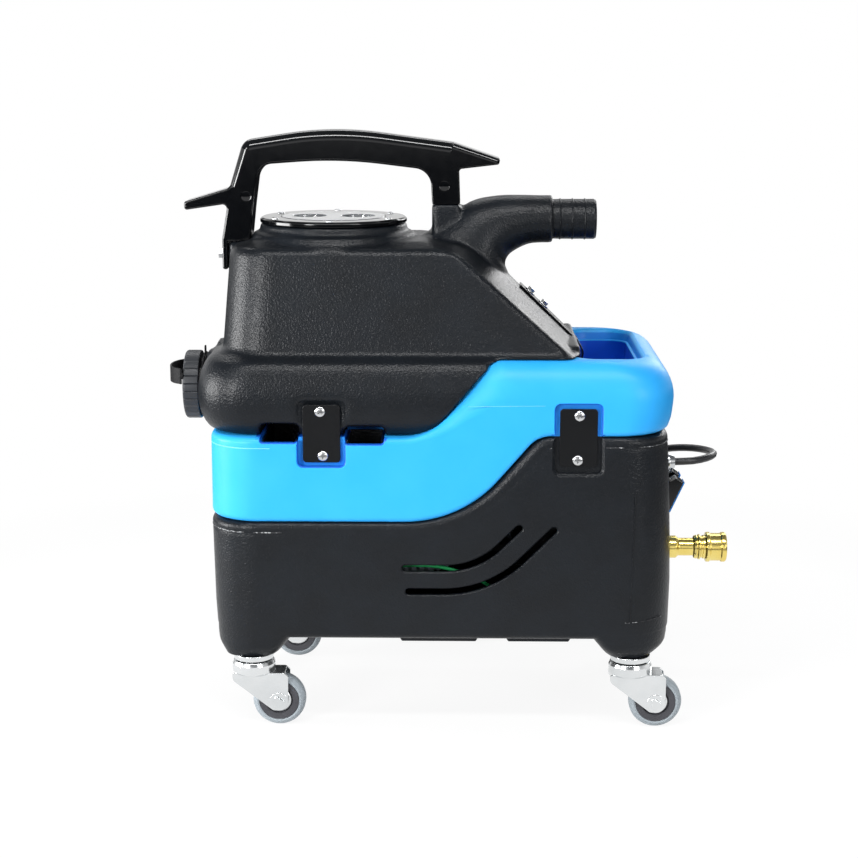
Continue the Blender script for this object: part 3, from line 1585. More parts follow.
    def _liners(self) -> None:
        """Adds the black liners of the wells behind the notches, open to the vacuum hose."""
        liners, space = Solid("notch_liners"), Solid()
        for side in SIDES:
            for notch in NOTCHES:
                deep, near = notch.floor + 1.4, BODY_HALF_WIDTH - 7.4
                liners.prism(box_outline(notch.x, 267.5, notch.width - 2.8, 34, 2.6),
                             *span(side, deep, near), TO_FRONT, 0.4, 2)
                space.prism(box_outline(notch.x, 277, notch.width - 6, 49, 1.6),
                            *span(side, deep + self.liner, near + 9), TO_FRONT)
        space.prism(circle(TUNNEL_X, 0, TUNNEL_RADIUS - 0.4, 48), 200, 330, UPRIGHT)
        liners.take(space, True).publish(BLACK_TANK, sharp=34)

    def build(self) -> None:
        """Builds the solution tank."""
        mesh = self._shell().take(self._recesses(0.0), True).publish(
            BLUE_TANK, "solution_tank").data
        hollow = mesh.attributes.new("hollow", "FLOAT", "FACE")
        for face in mesh.polygons:
            hollow.data[face.index].value = self._hollow(
                face.center / MM - Vector((BODY_TO_FRAME, 0, 0)), face.normal)
        self._flash()
        self._liners()


# ---------------------------------------------------------------- recovery tank

@dataclass
class RecoveryTank:
    """The black tank on top: a bulging lobe along the stepped seam, and an upper body.

    The upper body has a sloping end, a duct that rises to the hose inlet, the lid's neck and the
    handle's two bosses.
    """

    nose_x: float = 130.5
    slope_top: Point2 = (74.5, 414.8)
    slope_foot: Point2 = (127.0, 364.0)
    flat: tuple[float, ...] = (0.6203, 0.2088, 0.7561, 369.4)     # the flats beside the slope
    edge: float = 10.0
    lobe_level: float = 322.0
    crease: float = 358.0
    duct_wall: float = 5.0
    neck_bore: float = 63.4
    inlet_bore: float = 19.7
    voxel: float = 2.1
    corner_steps: int = 9
    side_steps: int = 56
    duct_sides: int = 36
    duct_steps: int = 4
    stations: tuple[tuple[float, ...], ...] = (          # x, z, tilt, radius, half width
        (-8, 425, 58, 44, 38), (30, 450, 50, 41, 34), (43, 465.5, 29, 35, 30),
        (58.4, 473.6, 12, 29, 26.5), (78.4, 478.4, 4, 24.2, 24), (92, 479.2, 0, 23, 23),
        (106, 479.3, 0, 23, 23))
    neck: tuple[Corner, ...] = (
        (0, 440), (84, 440), (84, 457.6), (79.6, 461.5, 4), (77.8, 467.4, 1.0),
        (71.6, 468.6, 1.2), (71.2, NECK_TOP, 0.8), (0, NECK_TOP))
    spout_pad: tuple[Corner, ...] = (
        (0, 0), (34, 0, 1.5), (37, 8, 6), (46, 12), (46, 30), (0, 30))

    def _extent(self, z: float) -> tuple[float, ...]:
        """Gives the body's size at a height.

        Args:
            z: the height.

        Returns:
            The reach to the low end and to the sides, and the corners' radius.
        """
        bulge = min(abs(z - self.lobe_level) / 38.5, 0.985)
        drawn = 20 * (1 - math.sqrt(1 - bulge ** 2))
        rise = clamped((z - 337.0) / 112.0)
        share = eased(clamped((z - 355.5) / 8.5))
        lobe = (232.3 - drawn, 125.5 - drawn, 48.0)
        upper = (211.5 - 8 * rise, lerp(108.0, 87.0, rise), 44.0)
        return tuple(lerp(a, b, share) for a, b in zip(lobe, upper))

    def _outline(self, z: float, inset: float = 0.0) -> list[Point2]:
        """Gives the tank's outline at a height, with the two flats beside the slope.

        Args:
            z: the height that the outline is taken at.
            inset: how far it is drawn in.

        Returns:
            The outline, with as many points at any height.
        """
        left, half, radius = self._extent(z)
        left, half, radius = left - inset, half - inset, max(radius - inset, 3)
        (tx, tz), (fx, fz) = self.slope_top, self.slope_foot
        slope = tx + (tz - z) * (fx - tx) / (tz - fz) - inset * 1.4
        nose = self.nose_x - inset
        blend = clamped((nose - slope) / 12 + 0.5)
        right = lerp(nose, slope, blend) - 3.0 * blend * (1 - blend)
        along, across, up, reach = self.flat
        side_x = min((reach - up * z - across * half) / along - inset * 1.2, right - 3.0)
        cut_y = (reach - up * z - along * (right + inset * 1.2)) / across
        crown = clamped((nose - slope) / 4)
        cut_y = lerp(max(6.0, min(half - 3.0, cut_y)), 9.0, crown)
        soft = 3.0 if side_x > right - 4.0 else 9.0
        line = rounded([(-left, -half, radius), (side_x, -half, soft), (right, -cut_y, soft),
                        (right, cut_y, soft), (side_x, half, soft), (-left, half, radius)],
                       self.corner_steps)
        filled: list[Point2] = []
        for i, (u, v) in enumerate(line):
            filled.append((u, v))
            if i in (self.corner_steps, 5 * self.corner_steps + 4):        # the two long sides
                nu, nv = line[i + 1]
                filled += [(lerp(u, nu, k / self.side_steps), lerp(v, nv, k / self.side_steps))
                           for k in range(1, self.side_steps)]
        return filled

    def _flat_ring(self, z: float, inset: float = 0.0, at_z: float | None = None) -> list[Vector]:
        """Gives a level ring.

        Args:
            z: the height that the outline is taken at.
            inset: how far it is drawn in.
            at_z: the height that it is put at, where it is another.

        Returns:
            The ring's points.
        """
        height = z if at_z is None else at_z
        return [Vector((u, v, height)) for u, v in self._outline(z, inset)]

    def _seam_ring(self, share: float, offset: float, inset: float = 0.0) -> list[Vector]:
        """Gives one ring of the lobe, between the seam and the crease above it.

        Args:
            share: zero at the seam and one at the crease.
            offset: the ring's distance above the seam at its foot.
            inset: how far it is drawn in.

        Returns:
            The ring's points.
        """
        ring = []
        for i, (x, _) in enumerate(self._outline(self.lobe_level)):
            z = lerp(min(TANK_SEAM.at(x)[0] + offset, self.crease - 0.1), self.crease, share)
            ring.append(Vector((*self._outline(z, inset)[i], z)))
        return ring

    def _body(self) -> Solid:
        """Builds the lobe and the upper body as one skin.

        Returns:
            The skin.
        """
        lobe = [self._seam_ring(0.0, GAP, 2.5), self._seam_ring(0.0, GAP + 1.2, 0.8)]
        lobe += [self._seam_ring(share, GAP + 2.5) for share in
                 (0.0, 0.08, 0.18, 0.3, 0.42, 0.54, 0.66, 0.78, 0.88, 0.95, 1.0)]
        upper = [self._flat_ring(z) for z in
                 (359.5, 361, 362.5, 364, 368, 376, 388, 402, 416, 430, 440, 449)]
        roll = [self._flat_ring(DECK_TOP - self.edge + self.edge * math.sin(a),
                                self.edge * (1 - math.cos(a))) for a in quarter(5)[1:]]
        crown = [self._flat_ring(DECK_TOP, 30.0, DECK_TOP + 4)]
        return Solid("recovery_shell").loft(lobe + upper + roll + crown, Cap.RIDGE, Cap.FLAT)

    def _duct(self, inset: float = 0.0, start: int = 0) -> list[list[Vector]]:
        """Gives the duct's rings, smoothed between its stations.

        Args:
            inset: how far the rings are drawn in, for the bore.
            start: the first station that is used.

        Returns:
            The rings.
        """
        coarse = []
        for x, z, tilt, radius, across in self.stations[start:]:
            slope = math.radians(tilt)
            ups = [((radius - inset) * math.sin(a), a) for a in turns(self.duct_sides)]
            coarse.append([Vector((x - up * math.sin(slope), (across - inset) * math.cos(a),
                                   z + up * math.cos(slope))) for up, a in ups])
        rings = []
        for i in range(len(coarse) - 1):
            near = (coarse[max(i - 1, 0)], coarse[i], coarse[i + 1],
                    coarse[min(i + 2, len(coarse) - 1)])
            for t in (step / self.duct_steps for step in range(self.duct_steps)):
                rings.append([0.5 * ((2 * p1) + (p2 - p0) * t + (2 * p0 - 5 * p1 + 4 * p2 - p3)
                                     * t * t + (3 * p1 - p0 - 3 * p2 + p3) * t ** 3)
                              for p0, p1, p2, p3 in zip(*near)])
        return rings + [coarse[-1]]

    def _additions(self) -> list[Solid]:
        """Builds the duct, neck, bosses, drip edge and spout pad.

        Returns:
            The additions.
        """
        return [
            Solid().loft(self._duct()),
            Solid().lathe(self.neck, 72, at(NECK_X)),
            Solid().prism(box_outline(2.8, 0, 27.5, 36, 4), 440, 494.3, UPRIGHT, 1.5),
            Solid().prism(box_outline(-197.3, 0, 21.5, 36, 4), 420, 457.8, UPRIGHT, 1.5),
            Solid().prism(box_outline(0, 356, 152, 21, 3), self.nose_x - 9, self.nose_x - 0.3,
                          FACING_X, 1.5),
            Solid().lathe(self.spout_pad, 56, at(SPOUT_FACE + GAP, 0, DRAIN_LEVEL) @ ALONG_X)]

    @staticmethod
    def _reliefs() -> Solid:
        """Builds the cutters for the plate pockets and the notches.

        Returns:
            The cutters.
        """
        tool = Solid()
        for side in SIDES:
            for notch in NOTCHES:
                tool.pocket(notch.x, notch.width, notch.low - 30, notch.high, notch.floor,
                            124.5, side, 2.2, 3.5)
            site = LEFT_PLATE
            tool.pocket(site.x, site.width, site.low - 40, site.high, site.seat, 125.0, side, 3.0)
        return tool

    def _bores(self) -> Solid:
        """Builds the cutters for the hollow and the bores.

        Returns:
            The cutters, joined.
        """
        hollow = Solid().loft([self._flat_ring(z, inset) for z, inset in (
            (330, 6.0), (345, 6.0), (353, 6.0), (366, 7.0), (400, 7.0), (440, 7.0), (450, 12.0))])
        neck, inlet = self.neck_bore, self.inlet_bore
        for bore in (
                Solid().lathe([(0, 435), (neck, 435), (neck, 500), (0, 500)], 64, at(NECK_X)),
                Solid().loft(self._duct(self.duct_wall, 1)),
                Solid().lathe([(0, 0), (inlet, 0), (inlet, 30), (0, 30)], 40,
                              at(DUCT_END - 16.3, 0, HOSE_LEVEL) @ ALONG_X)):
            hollow.join(bore)
        return hollow

    def build(self) -> None:
        """Builds the recovery tank, its joins melted together as in a blown skin."""
        shell = self._body()
        for addition in self._additions():
            shell.join(addition)
        shell.take(self._reliefs(), True).modify("REMESH", mode="VOXEL", voxel_size=self.voxel)
        mesh = shell.object().data
        melted = bmesh.new()
        melted.from_mesh(mesh)
        for _ in range(3):
            bmesh.ops.smooth_vert(melted, verts=melted.verts, factor=0.5, use_axis_x=True,
                                  use_axis_y=True, use_axis_z=True)
        melted.to_mesh(mesh)
        melted.free()
        shell.take(self._bores()).publish(BLACK_TANK, "recovery_tank", sharp=50.0)
        ridge = Solid("recovery_corner_ridge")
        for side in SIDES:
            line = [Vector((-163.5 + 0.03 * (z - 365), side * (self._extent(z)[1] - 0.75), z))
                    for z in (365.5 + 4.0 * k for k in range(20))]
            ridge.tube(line, [0.8] * 17 + [0.6, 0.35, 0.15], 10)
        ridge.publish(BLACK_TANK, weighted=False)


# ---------------------------------------------------------------- handle

@dataclass
class CarryHandle:
    """The gloss handle: an arch on two legs with a cord horn at each end."""

    half: float = 17.0
    small: float = 2.1                   # the rims' usual rounding
    evenings: int = 24                   # how often the rounding is evened along the rim
    corners: tuple[Corner, ...] = (
        (-214.3, 431.2, 2.3), (-208.9, 431.2, 2.3), (-208.9, 458.2, 0.6), (-187.2, 458.2, 2.3),
        (-183.5, 492, 40), (-178, 532, 16), (-100, 537.6, 420), (-12.5, 527, 17),
        (-10.8, 494.6, 1.5), (16.3, 494.6, 1.5), (15.2, 528, 3), (53.4, 532.4, 2.2),
        (54.6, 538, 2.2), (9, 553.4, 12), (-106.8, 568.7, 324), (-192.5, 555.2, 12),
        (-206.5, 510, 5), (-250.6, 496.6, 2.8), (-250.4, 488.4, 2.8), (-208.4, 494.6, 4),
        (-214.3, 461, 10))
    mark: tuple[Corner, ...] = (
        (0, -0.5), (2.6, -0.42), (4.4, -0.2), (4.9, -0.05), (5.0, -0.8), (5.6, -0.8), (5.7, 3),
        (0, 3))
    marks_at: tuple[Point2, ...] = ((-190, 502), (1, 512))

    def _round(self, x: float, z: float, up: float) -> float:
        """Gives the rim's rounding at a point of the outline.

        Args:
            x: the point's place.
            z: its height.
            up: how far its normal points up.

        Returns:
            The rounding's radius.
        """
        if x > -20 and z < 497:
            return 1.3
        if up > 0.25 or x < -186:
            return lerp(self.small, 10.0, eased(clamped((z - 512) / 32) * clamped((44 - x) / 44)))
        return 3.0 if up < -0.5 and -172 < x < -26 else self.small

    def _body(self) -> Solid:
        """Builds the handle, broadly rounded along the top of its arch.

        Returns:
            The handle.
        """
        outline = rounded(self.corners, 18)
        count = len(outline)
        points, normals, radii = [], [], []
        for i, (x, z) in enumerate(outline):
            before, after = outline[i - 1], outline[(i + 1) % count]
            along = Vector((after[0] - before[0], 0.0, after[1] - before[1])).normalized()
            points.append(Vector((x, 0.0, z)))
            normals.append(Vector((along.z, 0.0, -along.x)))
            radii.append(self._round(x, z, -along.x))
        for _ in range(self.evenings):
            radii = [(radii[i - 1] + radii[i] + radii[(i + 1) % count]) / 3 for i in range(count)]

        def ring(angle: float, side: int) -> list[Vector]:
            """Gives one ring of the rounding."""
            return [point - outwards * radius * (1 - math.sin(angle))
                    + Vector((0, side * (self.half - radius * (1 - math.cos(angle))), 0))
                    for point, outwards, radius in zip(points, normals, radii)]
        return Solid("carry_handle").loft([ring(a, -1) for a in quarter(9)]
                                          + [ring(a, 1) for a in reversed(quarter(9))])

    def build(self) -> None:
        """Builds the handle and its fixings."""
        marks = Solid()
        for side in SIDES:
            for x, z in self.marks_at:
                marks.lathe(self.mark, 48, at(x, side * self.half, z)
                            @ Matrix.Rotation(-side * QUARTER_TURN, 4, "X"))
        self._body().take(marks).publish(GLOSS_ABS, "handle", sharp=34.0)
        dress(STEEL, "handle_bolt", "handle_stud")


# ---------------------------------------------------------------- deck plate and lid

@dataclass
class DeckPlate:
    """The threaded ring screwed to the neck, its clear lid and their seal."""

    ring_radius: float = 71.3
    ring_foot: float = NECK_TOP + GAP
    lid_radius: float = 50.5
    bore: float = 46.0
    thick: float = 5.0
    screws: int = 6
    screw_circle: float = 62.6
    cup_across: float = 23.5

    def _ring(self) -> None:
        """Builds the ring with its screws."""
        out, foot, rim = self.ring_radius, self.ring_foot, self.lid_radius + 0.6
        top, low = foot + self.thick, NECK_TOP - 16
        Solid("deck_ring_turned").lathe([
            (self.bore, low, 0.5), (62.7, low, 0.5), (62.7, foot, 0.3), (out, foot, 0.8),
            (out, top - 1.6, 1.2), (out - 2.2, top, 1.0), (rim, top, 0.4), (rim, foot, 0.3),
            (self.bore, foot, 0.4)], 112, at(NECK_X), True).publish(
                GLOSS_ABS, "deck_ring", sharp=40)
        heads = Solid("deck_ring_screws")
        for i in range(self.screws):
            angle = math.pi * (2 * i + 1) / self.screws + math.pi / 3
            heads.screw(3.6, 1.8, at(NECK_X + self.screw_circle * math.cos(angle),
                                     self.screw_circle * math.sin(angle), top - 0.3), 15.0 + 40 * i)
        heads.publish(STEEL, sharp=30, heal=False)

    def _lid(self) -> None:
        """Builds the lid with its two finger cups."""
        flange = self.ring_foot + 2 * GAP + 2.2
        top = self.ring_foot + self.thick + 0.4
        lid = Solid("deck_lid_moulded").lathe([
            (0, flange - 9), (41, flange - 9, 0.6), (41, flange - 12, 0.4),
            (45.4, flange - 12, 0.4), (45.4, flange, 0.5), (self.lid_radius, flange, 0.4),
            (self.lid_radius, top, 0.7), (0, top)], 96, at(NECK_X))
        cups = Solid()
        for side in SIDES:
            cups.lathe([(0, top - 10), (15.5, top - 10, 2.5), (16.9, top - 0.7, 0.8),
                        (18.4, top + 1.5), (0, top + 1.5)], 48, at(NECK_X + side * self.cup_across))
        lid.take(cups).publish(CLEAR_LID, "deck_lid", "lid", sharp=40)

    def build(self) -> None:
        """Builds the deck plate."""
        self._ring()
        self._lid()
        dress(RUBBER, "lid_o_ring")
        dress(NYLON, "standpipe")
        dress(FLOAT_PLASTIC, "float_ball")


# ---------------------------------------------------------------- drain

@dataclass
class DrainAssembly:
    """The drain spout with its tether, and the fluted cap with its pull loop."""

    cap_place: float = SPOUT_FACE - 5.4 - GAP
    cap_radius: float = 33.75
    cap_length: float = 15.6
    flutes: int = 27
    points_a_flute: int = 8
    loop_half: float = 30.0
    loop_rise: float = 13.6
    loop_thick: float = 1.9
    loop_bend: float = math.radians(76)
    loop_steps: int = 28

    def _cap(self) -> None:
        """Builds the cap, its skirt fluted all round."""
        out, long = self.cap_radius, self.cap_length
        around = turns(self.flutes * self.points_a_flute)
        rings = []
        for z, radius, depth in (
                (0.0, out - 1.4, 0.0), (0.5, out - 0.4, 0.6), (1.3, out, 1.0),
                (long - 2.6, out, 1.0), (long - 1.2, out - 0.5, 0.7), (long - 0.3, out - 1.6, 0.2),
                (long, out - 2.8, 0.0), (long, 20.0, 0.0), (long - 0.8, 19.2, 0.0),
                (long - 0.8, 6.0, 0.0)):
            reach = [radius - (0.0 if k % self.points_a_flute else depth)
                     for k in range(len(around))]
            rings.append([Vector((r * math.cos(a), r * math.sin(a), z))
                          for r, a in zip(reach, around)])
        bore = Solid().lathe([(0, -2), (26.3, -2), (26.3, long - 3), (0, long - 3)], 48, UPRIGHT)
        cap = Solid("drain_cap_fluted").loft(rings).take(bore)
        cap.object().data.transform(at(self.cap_place, 0, DRAIN_LEVEL) @ ALONG_MINUS_X)
        cap.publish(CAP_PP, "drain_cap", "cap", sharp=30)

    def _loop(self) -> None:
        """Builds the pull loop: a strap bent across the cap's end, riveted at each foot."""
        end = self.cap_place - self.cap_length - 0.2
        foot = self.loop_half + 1.4
        angles = [-self.loop_bend + 2 * self.loop_bend * k / self.loop_steps
                  for k in range(self.loop_steps + 1)]
        inner = [(end - self.loop_rise * math.cos(a), self.loop_half * math.sin(a))
                 for a in angles]
        outer = [(x - self.loop_thick * math.cos(a), y) for a, (x, y) in zip(angles, inner)]
        face, back = end - self.loop_thick, end - 0.05
        outline = [(back, -foot), (face, -foot)] + outer + [(face, foot), (back, foot)]
        outline += [(x, y * 0.95) for x, y in reversed(inner)]
        strap = Solid("pull_loop_strap").prism(outline, 320.3, 335.8, UPRIGHT, 0.4, 2)
        for side in SIDES:
            strap.lathe([(0, -1.0), (3.0, -1.0), (3.0, 2.4, 0.8), (0, 2.8)], 24,
                        at(end, side * (foot - 2.0), 328) @ ALONG_MINUS_X)
        strap.publish(RUBBER, "cap_strap", "cap", sharp=34)

    def _tether(self) -> None:
        """Builds the thin ring round the spout, with the tab that holds it."""
        Solid("tether_ring_tab").prism(
            box_outline(0, DRAIN_LEVEL + 34.8, 7, 8, 2), -235.9, -234.7, FACING_X, 0.2, 2).lathe(
                [(28.6, 0, 0.3), (32.6, 0, 0.3), (32.6, 1.4, 0.3), (28.6, 1.4, 0.3)], 56,
                at(SPOUT_FACE - 1.4, 0, DRAIN_LEVEL) @ ALONG_MINUS_X, True).publish(
                    RUBBER, "tether_ring", sharp=34)

    def build(self) -> None:
        """Builds the drain."""
        self._cap()
        self._loop()
        self._tether()
        dress(NYLON, "drain_spout")
        dress(RUBBER, "drain_gasket")


# ---------------------------------------------------------------- bracket plates

@dataclass
class BracketPlate:
    """A bare plate that ties the tanks together, held by two domed screws."""

    site: PlateSite
    side: int
    name: str
    width: float = 35.0
    height: float = 54.5
    thick: float = 3.0
    screw_up: float = 21.0

    def build(self) -> None:
        """Builds the plate and its screws."""
        site = self.site
        near = site.seat + GAP
        face = near + self.thick
        centre = at(site.x, 0, site.z) @ about_z(self.side)
        Solid(f"plate_{self.name}").prism(
            box_outline(0, 0, self.width, self.height, 3.5), near, face, centre @ TO_FRONT,
            0.6).publish(NYLON, f"bracket_{self.name}", sharp=34)
        screws = Solid(f"plate_screws_{self.name}")
        for end in SIDES:
            lean = -site.lean * end * self.side
            screws.screw(5.0, 2.3, centre @ at(lean, -(face - 0.1), end * self.screw_up)
                         @ TO_FRONT, 25.0 + 30 * end)
        screws.publish(STEEL, sharp=30, heal=False)


# ---------------------------------------------------------------- hose end

@dataclass
class HoseEnd:
    """The hose barb, switches, cord gland and quick coupler on the hose end."""

    barb_radius: float = 20.0
    face: float = END_WALL + GAP
    rocker_sides: tuple[Corner, ...] = (
        (-4, -8, 2), (4.6, -17.4, 1.2), (18.6, 13.2, 1.4), (12.0, 17.6, 1.4), (-4, 9, 2))
    lens_sides: tuple[Corner, ...] = (
        (5.0, -16.6, 0.4), (6.3, -17.2, 0.5), (20.2, 13.2, 0.6), (18.9, 13.8, 0.5))
    nut: tuple[Corner, ...] = (
        (0, -16), (6.5, -16, 0.4), (6.5, 5), (9.6, 5), (9.6, 7.4, 0.6), (9.0, 8.2, 0.4),
        (9.0, 13.5, 2.5), (6.4, 19, 0.8), (0, 19))
    coupler: tuple[Corner, ...] = (
        (3, -16), (8.5, -16), (8.5, 0), (11, 0.1, 0.4), (11, 9.4, 0.8), (8.7, 12.2, 0.8),
        (8.7, 26.4, 0.6), (11, 27.2, 0.4), (11.8, 29.6, 0.3), (11.2, 30.6, 0.3),
        (12.4, 31.6, 0.5), (12.4, 33, 0.5), (10.8, 33.8, 0.3), (10.8, 35.4, 0.3),
        (11.6, 35.8, 0.3), (11.6, 38.2, 0.4), (9.6, 38.8), (9.6, 56, 0.4), (6, 56, 0.4),
        (6, 24), (3, 20))
    sleeve: tuple[Corner, ...] = (
        (11.8, 0, 0.3), (14, 0, 0.6), (14.7, 1, 0.5), (14.7, 3.6, 0.5), (13.6, 4.6, 0.4),
        (13.6, 14.4, 0.4), (14.7, 15.4, 0.5), (14.7, 18.6, 0.8), (13.6, 20, 0.5),
        (9.9, 20, 0.5), (9.9, 13), (11.8, 13))

    def _barb(self) -> None:
        """Builds the hose barb with its fine ribs."""
        out, bore = self.barb_radius, 16.5
        ribs: list[Corner] = []
        for x in (7, 19, 31):
            ribs += [(out - 0.7, x - 0.9), (out, x, 0.2), (out, x + 0.5, 0.2), (out - 0.7, x + 0.9)]
        Solid("hose_barb_ribbed").lathe(
            [(bore, -16, 0.4), (19.4, -16, 0.4), (19.4, GAP), (out - 0.6, GAP, 0.2)] + ribs
            + [(out - 0.6, 39.6, 0.6), (out - 1.6, 42, 0.8), (bore, 42, 0.8)], 64,
            at(DUCT_END, 0, HOSE_LEVEL) @ ALONG_X, True, 3).publish(
                BLACK_TANK, "hose_barb", slot="black_plate", sharp=35)

    def _rocker(self, name: str, y: float) -> None:
        """Builds one rocker and its lens.

        Args:
            name: what it switches.
            y: its middle across the machine.
        """
        for sides, fine, word, half, edge, steps, finish, stands_for in (
                (self.rocker_sides, 5, "moulded", 8.8, 0.8, 3, GLOSS_ABS, f"{name}_rocker"),
                (self.lens_sides, 4, "lens", 7.6, 0.4, 2, BLUE_LENS, "")):
            outline = [(self.face + 1 + u, ROCKER_LEVEL + v) for u, v in rounded(sides, fine)]
            Solid(f"{name}_rocker_{word}").prism(
                outline, -y - half, -y + half, TO_FRONT, edge, steps).publish(
                    finish, stands_for, f"{name}_switch", sharp=34)

    def _panel(self) -> None:
        """Builds the switch plate with a raised bezel round each rocker."""
        face, wells = self.face, Solid()
        panel = Solid("switch_plate").prism(box_outline(*PANEL, 73, 46, 4), face, face + 2.2,
                                            FACING_X, 0.7)
        for _, y in ROCKERS:
            panel.join(Solid().prism(box_outline(y, ROCKER_LEVEL, 25, 43, 3), face - 16,
                                     face + 4.4, FACING_X, 1.0))
            wells.prism(box_outline(y, ROCKER_LEVEL, 18.4, 37.4, 1.5), face - 12, face + 9,
                        FACING_X)
        panel.take(wells).publish(GLOSS_ABS, "switch_panel", sharp=34)

    def _gland(self) -> None:
        """Builds the cord's gland: a hex foot, a domed nut and a clamping mouth."""
        place = at(self.face, *GLAND) @ ALONG_X
        nut = Solid().lathe(self.nut, 48, place)
        bore = Solid().lathe([(0, -20), (4.1, -20), (4.1, 24), (0, 24)], 32, place)
        Solid("cord_gland").prism(circle(*GLAND, 12.2, 6), self.face, self.face + 6, FACING_X,
                                  0.7, 2).join(nut).take(bore).publish(
                                      STEEL, "cord_grip", sharp=32)

    def build(self) -> None:
        """Builds the hose end."""
        self._barb()
        for name, y in ROCKERS:
            self._rocker(name, y)
        for profile, x, word, body in ((self.coupler, 219.1, "body", MACHINE),
                                       (self.sleeve, 257.6, "sleeve", "release_sleeve")):
            Solid(f"coupler_{word}_turned").lathe(
                profile, 56, at(x, *COUPLER) @ ALONG_X, True, 3).publish(
                    BRASS, f"coupler_{word}", body, sharp=30)
        self._panel()
        self._gland()


# ---------------------------------------------------------------- casters

@dataclass
class Caster:
    """A swivel caster: plated races and fork, and a grey tyre on a dark hub."""

    name: str
    x: float
    y: float
    trail: float = 24.5
    wheel_radius: float = 25.4
    wheel_half: float = 9.5
    race: tuple[Corner, ...] = (
        (0, 63.2), (7, 63.2), (17.6, 66.1, 0.6), (19, 66.9, 0.6), (19, 71.7, 0.5), (5, 71.7),
        (5, 99.7, 0.5), (0, 99.7))
    fork_race: tuple[Corner, ...] = (
        (0, 52.2), (18.6, 52.2, 1.2), (20.5, 54.4, 1.0), (20.7, 61.8, 1.8), (19.2, 65.3, 0.8),
        (16.2, 65.3, 0.4), (7, 62.6), (0, 62.6))
    cheek: tuple[Corner, ...] = (
        (-20, 53.8, 2), (-19.4, 46.2, 5), (19.0, 16.4, 5.5), (29.4, 16.4, 5), (33.7, 25.0, 5),
        (33.9, 50.4, 2), (30.5, 53.8, 1.2))
    bearing: tuple[Corner, ...] = (
        (3.5, 0), (11.6, 0), (11.6, 0.8, 0.3), (10.4, 1.5, 0.6), (5.4, 1.7, 0.4),
        (4.6, 2.6, 0.4), (3.5, 2.6))

    def _at_wheel(self, side: int = 0, out: float = 0.0) -> Matrix:
        """Places a drawing on the axle.

        Args:
            side: which cheek it faces from, or nothing for the wheel's middle.
            out: how far out it lies.

        Returns:
            The placing matrix.
        """
        axle = at(self.x + self.trail, self.y, self.wheel_radius)
        return axle @ about_z(side) @ at(0, -out, 0) @ TO_FRONT

    def _fork(self) -> Solid:
        """Builds the pressed fork with its lower race and axle rivet.

        Returns:
            The fork.
        """
        here = at(self.x, self.y)
        fork = Solid(f"caster_fork_{self.name}_pressed").lathe(self.fork_race, 56, here)
        for near in (-12.7, 10.7):
            fork.prism(rounded(self.cheek), near, near + 2.0, here @ TO_FRONT, 0.5, 2)
        fork.prism(box_outline(6.7, 0, 48, 25.0, 2.5), 52.2, 54.2, here, 0.5, 2)
        rivet = [((4.9 + 1.1 * math.cos(3 * a)) * math.cos(a),
                  (4.9 + 1.1 * math.cos(3 * a)) * math.sin(a)) for a in turns(36)]
        for side in SIDES:
            place = self._at_wheel(side, 12.5)
            fork.lathe([(0, -0.1), (9.0, -0.1), (9.0, 0.7, 0.3), (0, 0.9)], 40, place)
            fork.prism(rivet, 0.8, 2.6, place, 0.6)
        return fork.lathe([(0, -11), (3, -11), (3, 11), (0, 11)], 24, self._at_wheel())

    def _wheel(self) -> None:
        """Builds the hub, its bearings and the tyre."""
        half, out = self.wheel_half, self.wheel_radius
        body = f"wheel_{self.name}"
        bearing = Solid(f"caster_bearing_{self.name}")
        for side in SIDES:
            bearing.lathe(self.bearing, 48, self._at_wheel(side, 6.6), True)
        bearing.publish(ZINC, "", body, sharp=32)
        hub = [(3.3, 2.9), (6.6, 2.9, 0.2), (7.0, 3.0, 0.4), (12.2, 3.2, 0.6), (13.2, 1.0, 0.5),
               (19, 0.8, 0.3)]
        tyre = [(19.3, 1, 0.3), (out - 4.2, 0.6, 1.5), (out, 4.6, 5.5)]
        for word, corners, steps, fine, finish in (("hub", hub, 56, 4, HUB),
                                                   ("tyre", tyre, 72, 6, TYRE)):
            profile = [(r, depth - half, *rounding) for r, depth, *rounding in corners]
            profile += [(r, half - depth, *rounding) for r, depth, *rounding in reversed(corners)]
            Solid(f"caster_{word}_{self.name}").lathe(
                profile, steps, self._at_wheel(), True, fine).publish(
                    finish, f"wheel_{word}_{self.name}", body, sharp=35)

    def build(self) -> None:
        """Builds the caster."""
        Solid(f"caster_race_{self.name}").lathe(self.race, 56, at(self.x, self.y)).publish(
            ZINC, f"caster_mount_{self.name}", sharp=35)
        self._fork().publish(ZINC, f"caster_fork_{self.name}", f"caster_{self.name}", sharp=35)
        self._wheel()


# ---------------------------------------------------------------- inside and flap

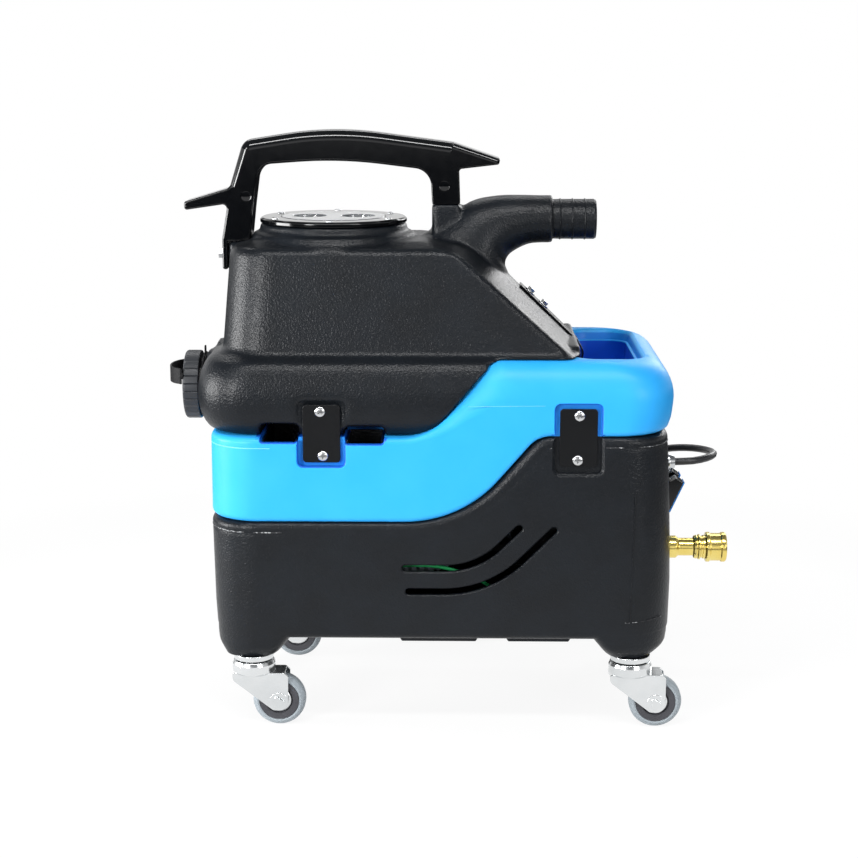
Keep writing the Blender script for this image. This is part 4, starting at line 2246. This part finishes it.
@dataclass
class Internals:
    """What shows through the vents and the notches: hoses, wire, pump and vacuum motor."""

    rib_mm: float = 7.0
    hose_radii: Point2 = (24.6, 27.4)
    hose: tuple[tuple[float, float, float], ...] = (
        (-125, 0, 300), (-125, 0, 250), (-125, 0, 200), (-117, 0, 172), (-95, 0, 150),
        (-59, 0, 142), (-20, 0, 148), (30, 0, 172), (50, 0, 185), (68.7, 0, 185))
    wire_radius: float = 1.7
    wire: tuple[tuple[float, float, float], ...] = (
        (-84, -70, 95.8), (-84, -71, 103), (-83, -80, 120), (-78, -98, 142), (-58, -108, 157),
        (-30, -110, 160.5), (0, -110, 159), (30, -106, 148), (60, -95, 128), (96, -82, 110),
        (130, -76, 102.5), (156, -74, 101))

    def build(self) -> None:
        """Builds the corrugated vacuum hose and the earth wire, and dresses the rest."""
        line = smooth_line(self.hose, 1.15)
        run, radii = 0.0, []
        for i, point in enumerate(line):
            run += (point - line[i - 1]).length if i else 0.0
            wave = 0.5 + 0.5 * math.cos(FULL_TURN * run / self.rib_mm)
            radii.append(lerp(*self.hose_radii, wave ** 0.7))
        Solid("vacuum_hose_ribbed").tube(line, radii, 36).publish(
            HOSE_VINYL, "vacuum_hose", sharp=60)
        line = smooth_line(self.wire, 3.0)
        Solid("earth_wire_sheathed").tube(line, [self.wire_radius] * len(line), 12).publish(
            GREEN_VINYL, "earth_wire", sharp=60)
        dress(ALUMINIUM, "impeller", "vacuum_motor")
        dress(NYLON, "fan_shell", "solution_pump")
        dress(RUBBER, "suction_hose", "pressure_hose")


@dataclass
class SplashFlap:
    """The rubber flap that hangs into the filler mouth, with its two hex screws."""

    slope: float = math.atan2(50.8, 52.5)
    strip: tuple[Corner, ...] = (
        (74.7, 415.0, 0.6), (130.9, 360.7, 10), (136.4, 351.0, 8), (134.9, 342.4, 0.7),
        (136.7, 342.0, 0.7), (138.3, 350.8, 10), (132.1, 362.0, 12), (76.0, 416.3, 0.6))
    strip_half: float = 12.0
    screws: tuple[tuple[str, float], ...] = (("flap_screw_1", 0.16), ("flap_screw_2", 0.41))

    def build(self) -> None:
        """Builds the flap, and its screws square to the slope."""
        Solid("splash_flap_strip").prism(rounded(self.strip), -self.strip_half, self.strip_half,
                                         TO_FRONT, 0.45, 2).publish(
                                             SHEET_RUBBER, "splash_flap", sharp=40)
        hexagon = round_points(0, 0, 4.1, [a + 0.35 for a in turns(6)])
        (tx, tz), (fx, fz) = RecoveryTank.slope_top, RecoveryTank.slope_foot
        for name, share in self.screws:
            place = (at(lerp(tx, fx, share), 0, lerp(tz, fz, share))
                     @ Matrix.Rotation(self.slope, 4, "Y"))
            Solid(f"{name}_hex").lathe(
                [(0, 2.3), (6, 2.3, 0.2), (6, 3.4, 0.4), (0, 3.4)], 40, place).prism(
                    hexagon, 3.3, 6.6, place, 0.5, 2).publish(STEEL, name, sharp=30)


def main() -> None:
    """Builds the studio and each sub-assembly in turn."""
    logging.basicConfig(level=logging.INFO, format="%(name)s %(message)s")
    rows = tuple(zip(SIDES, ("front", "back")))
    plates = [BracketPlate(site, side, f"{row}_{end}") for side, row in rows
              for site, end in ((LEFT_PLATE, "left"), (RIGHT_PLATE, "right"))]
    casters = [Caster(f"{row}_{end}", sx * CASTER_X, sy * CASTER_Y)
               for sy, row in rows for sx, end in zip(SIDES, ("left", "right"))]
    for assembly in (Studio(), PowerCord(), BaseShell(), SolutionTank(), RecoveryTank(),
                     CarryHandle(), DeckPlate(), DrainAssembly(), *plates, HoseEnd(), *casters,
                     Internals(), SplashFlap()):
        assembly.build()


if __name__ == "__main__":
    main()
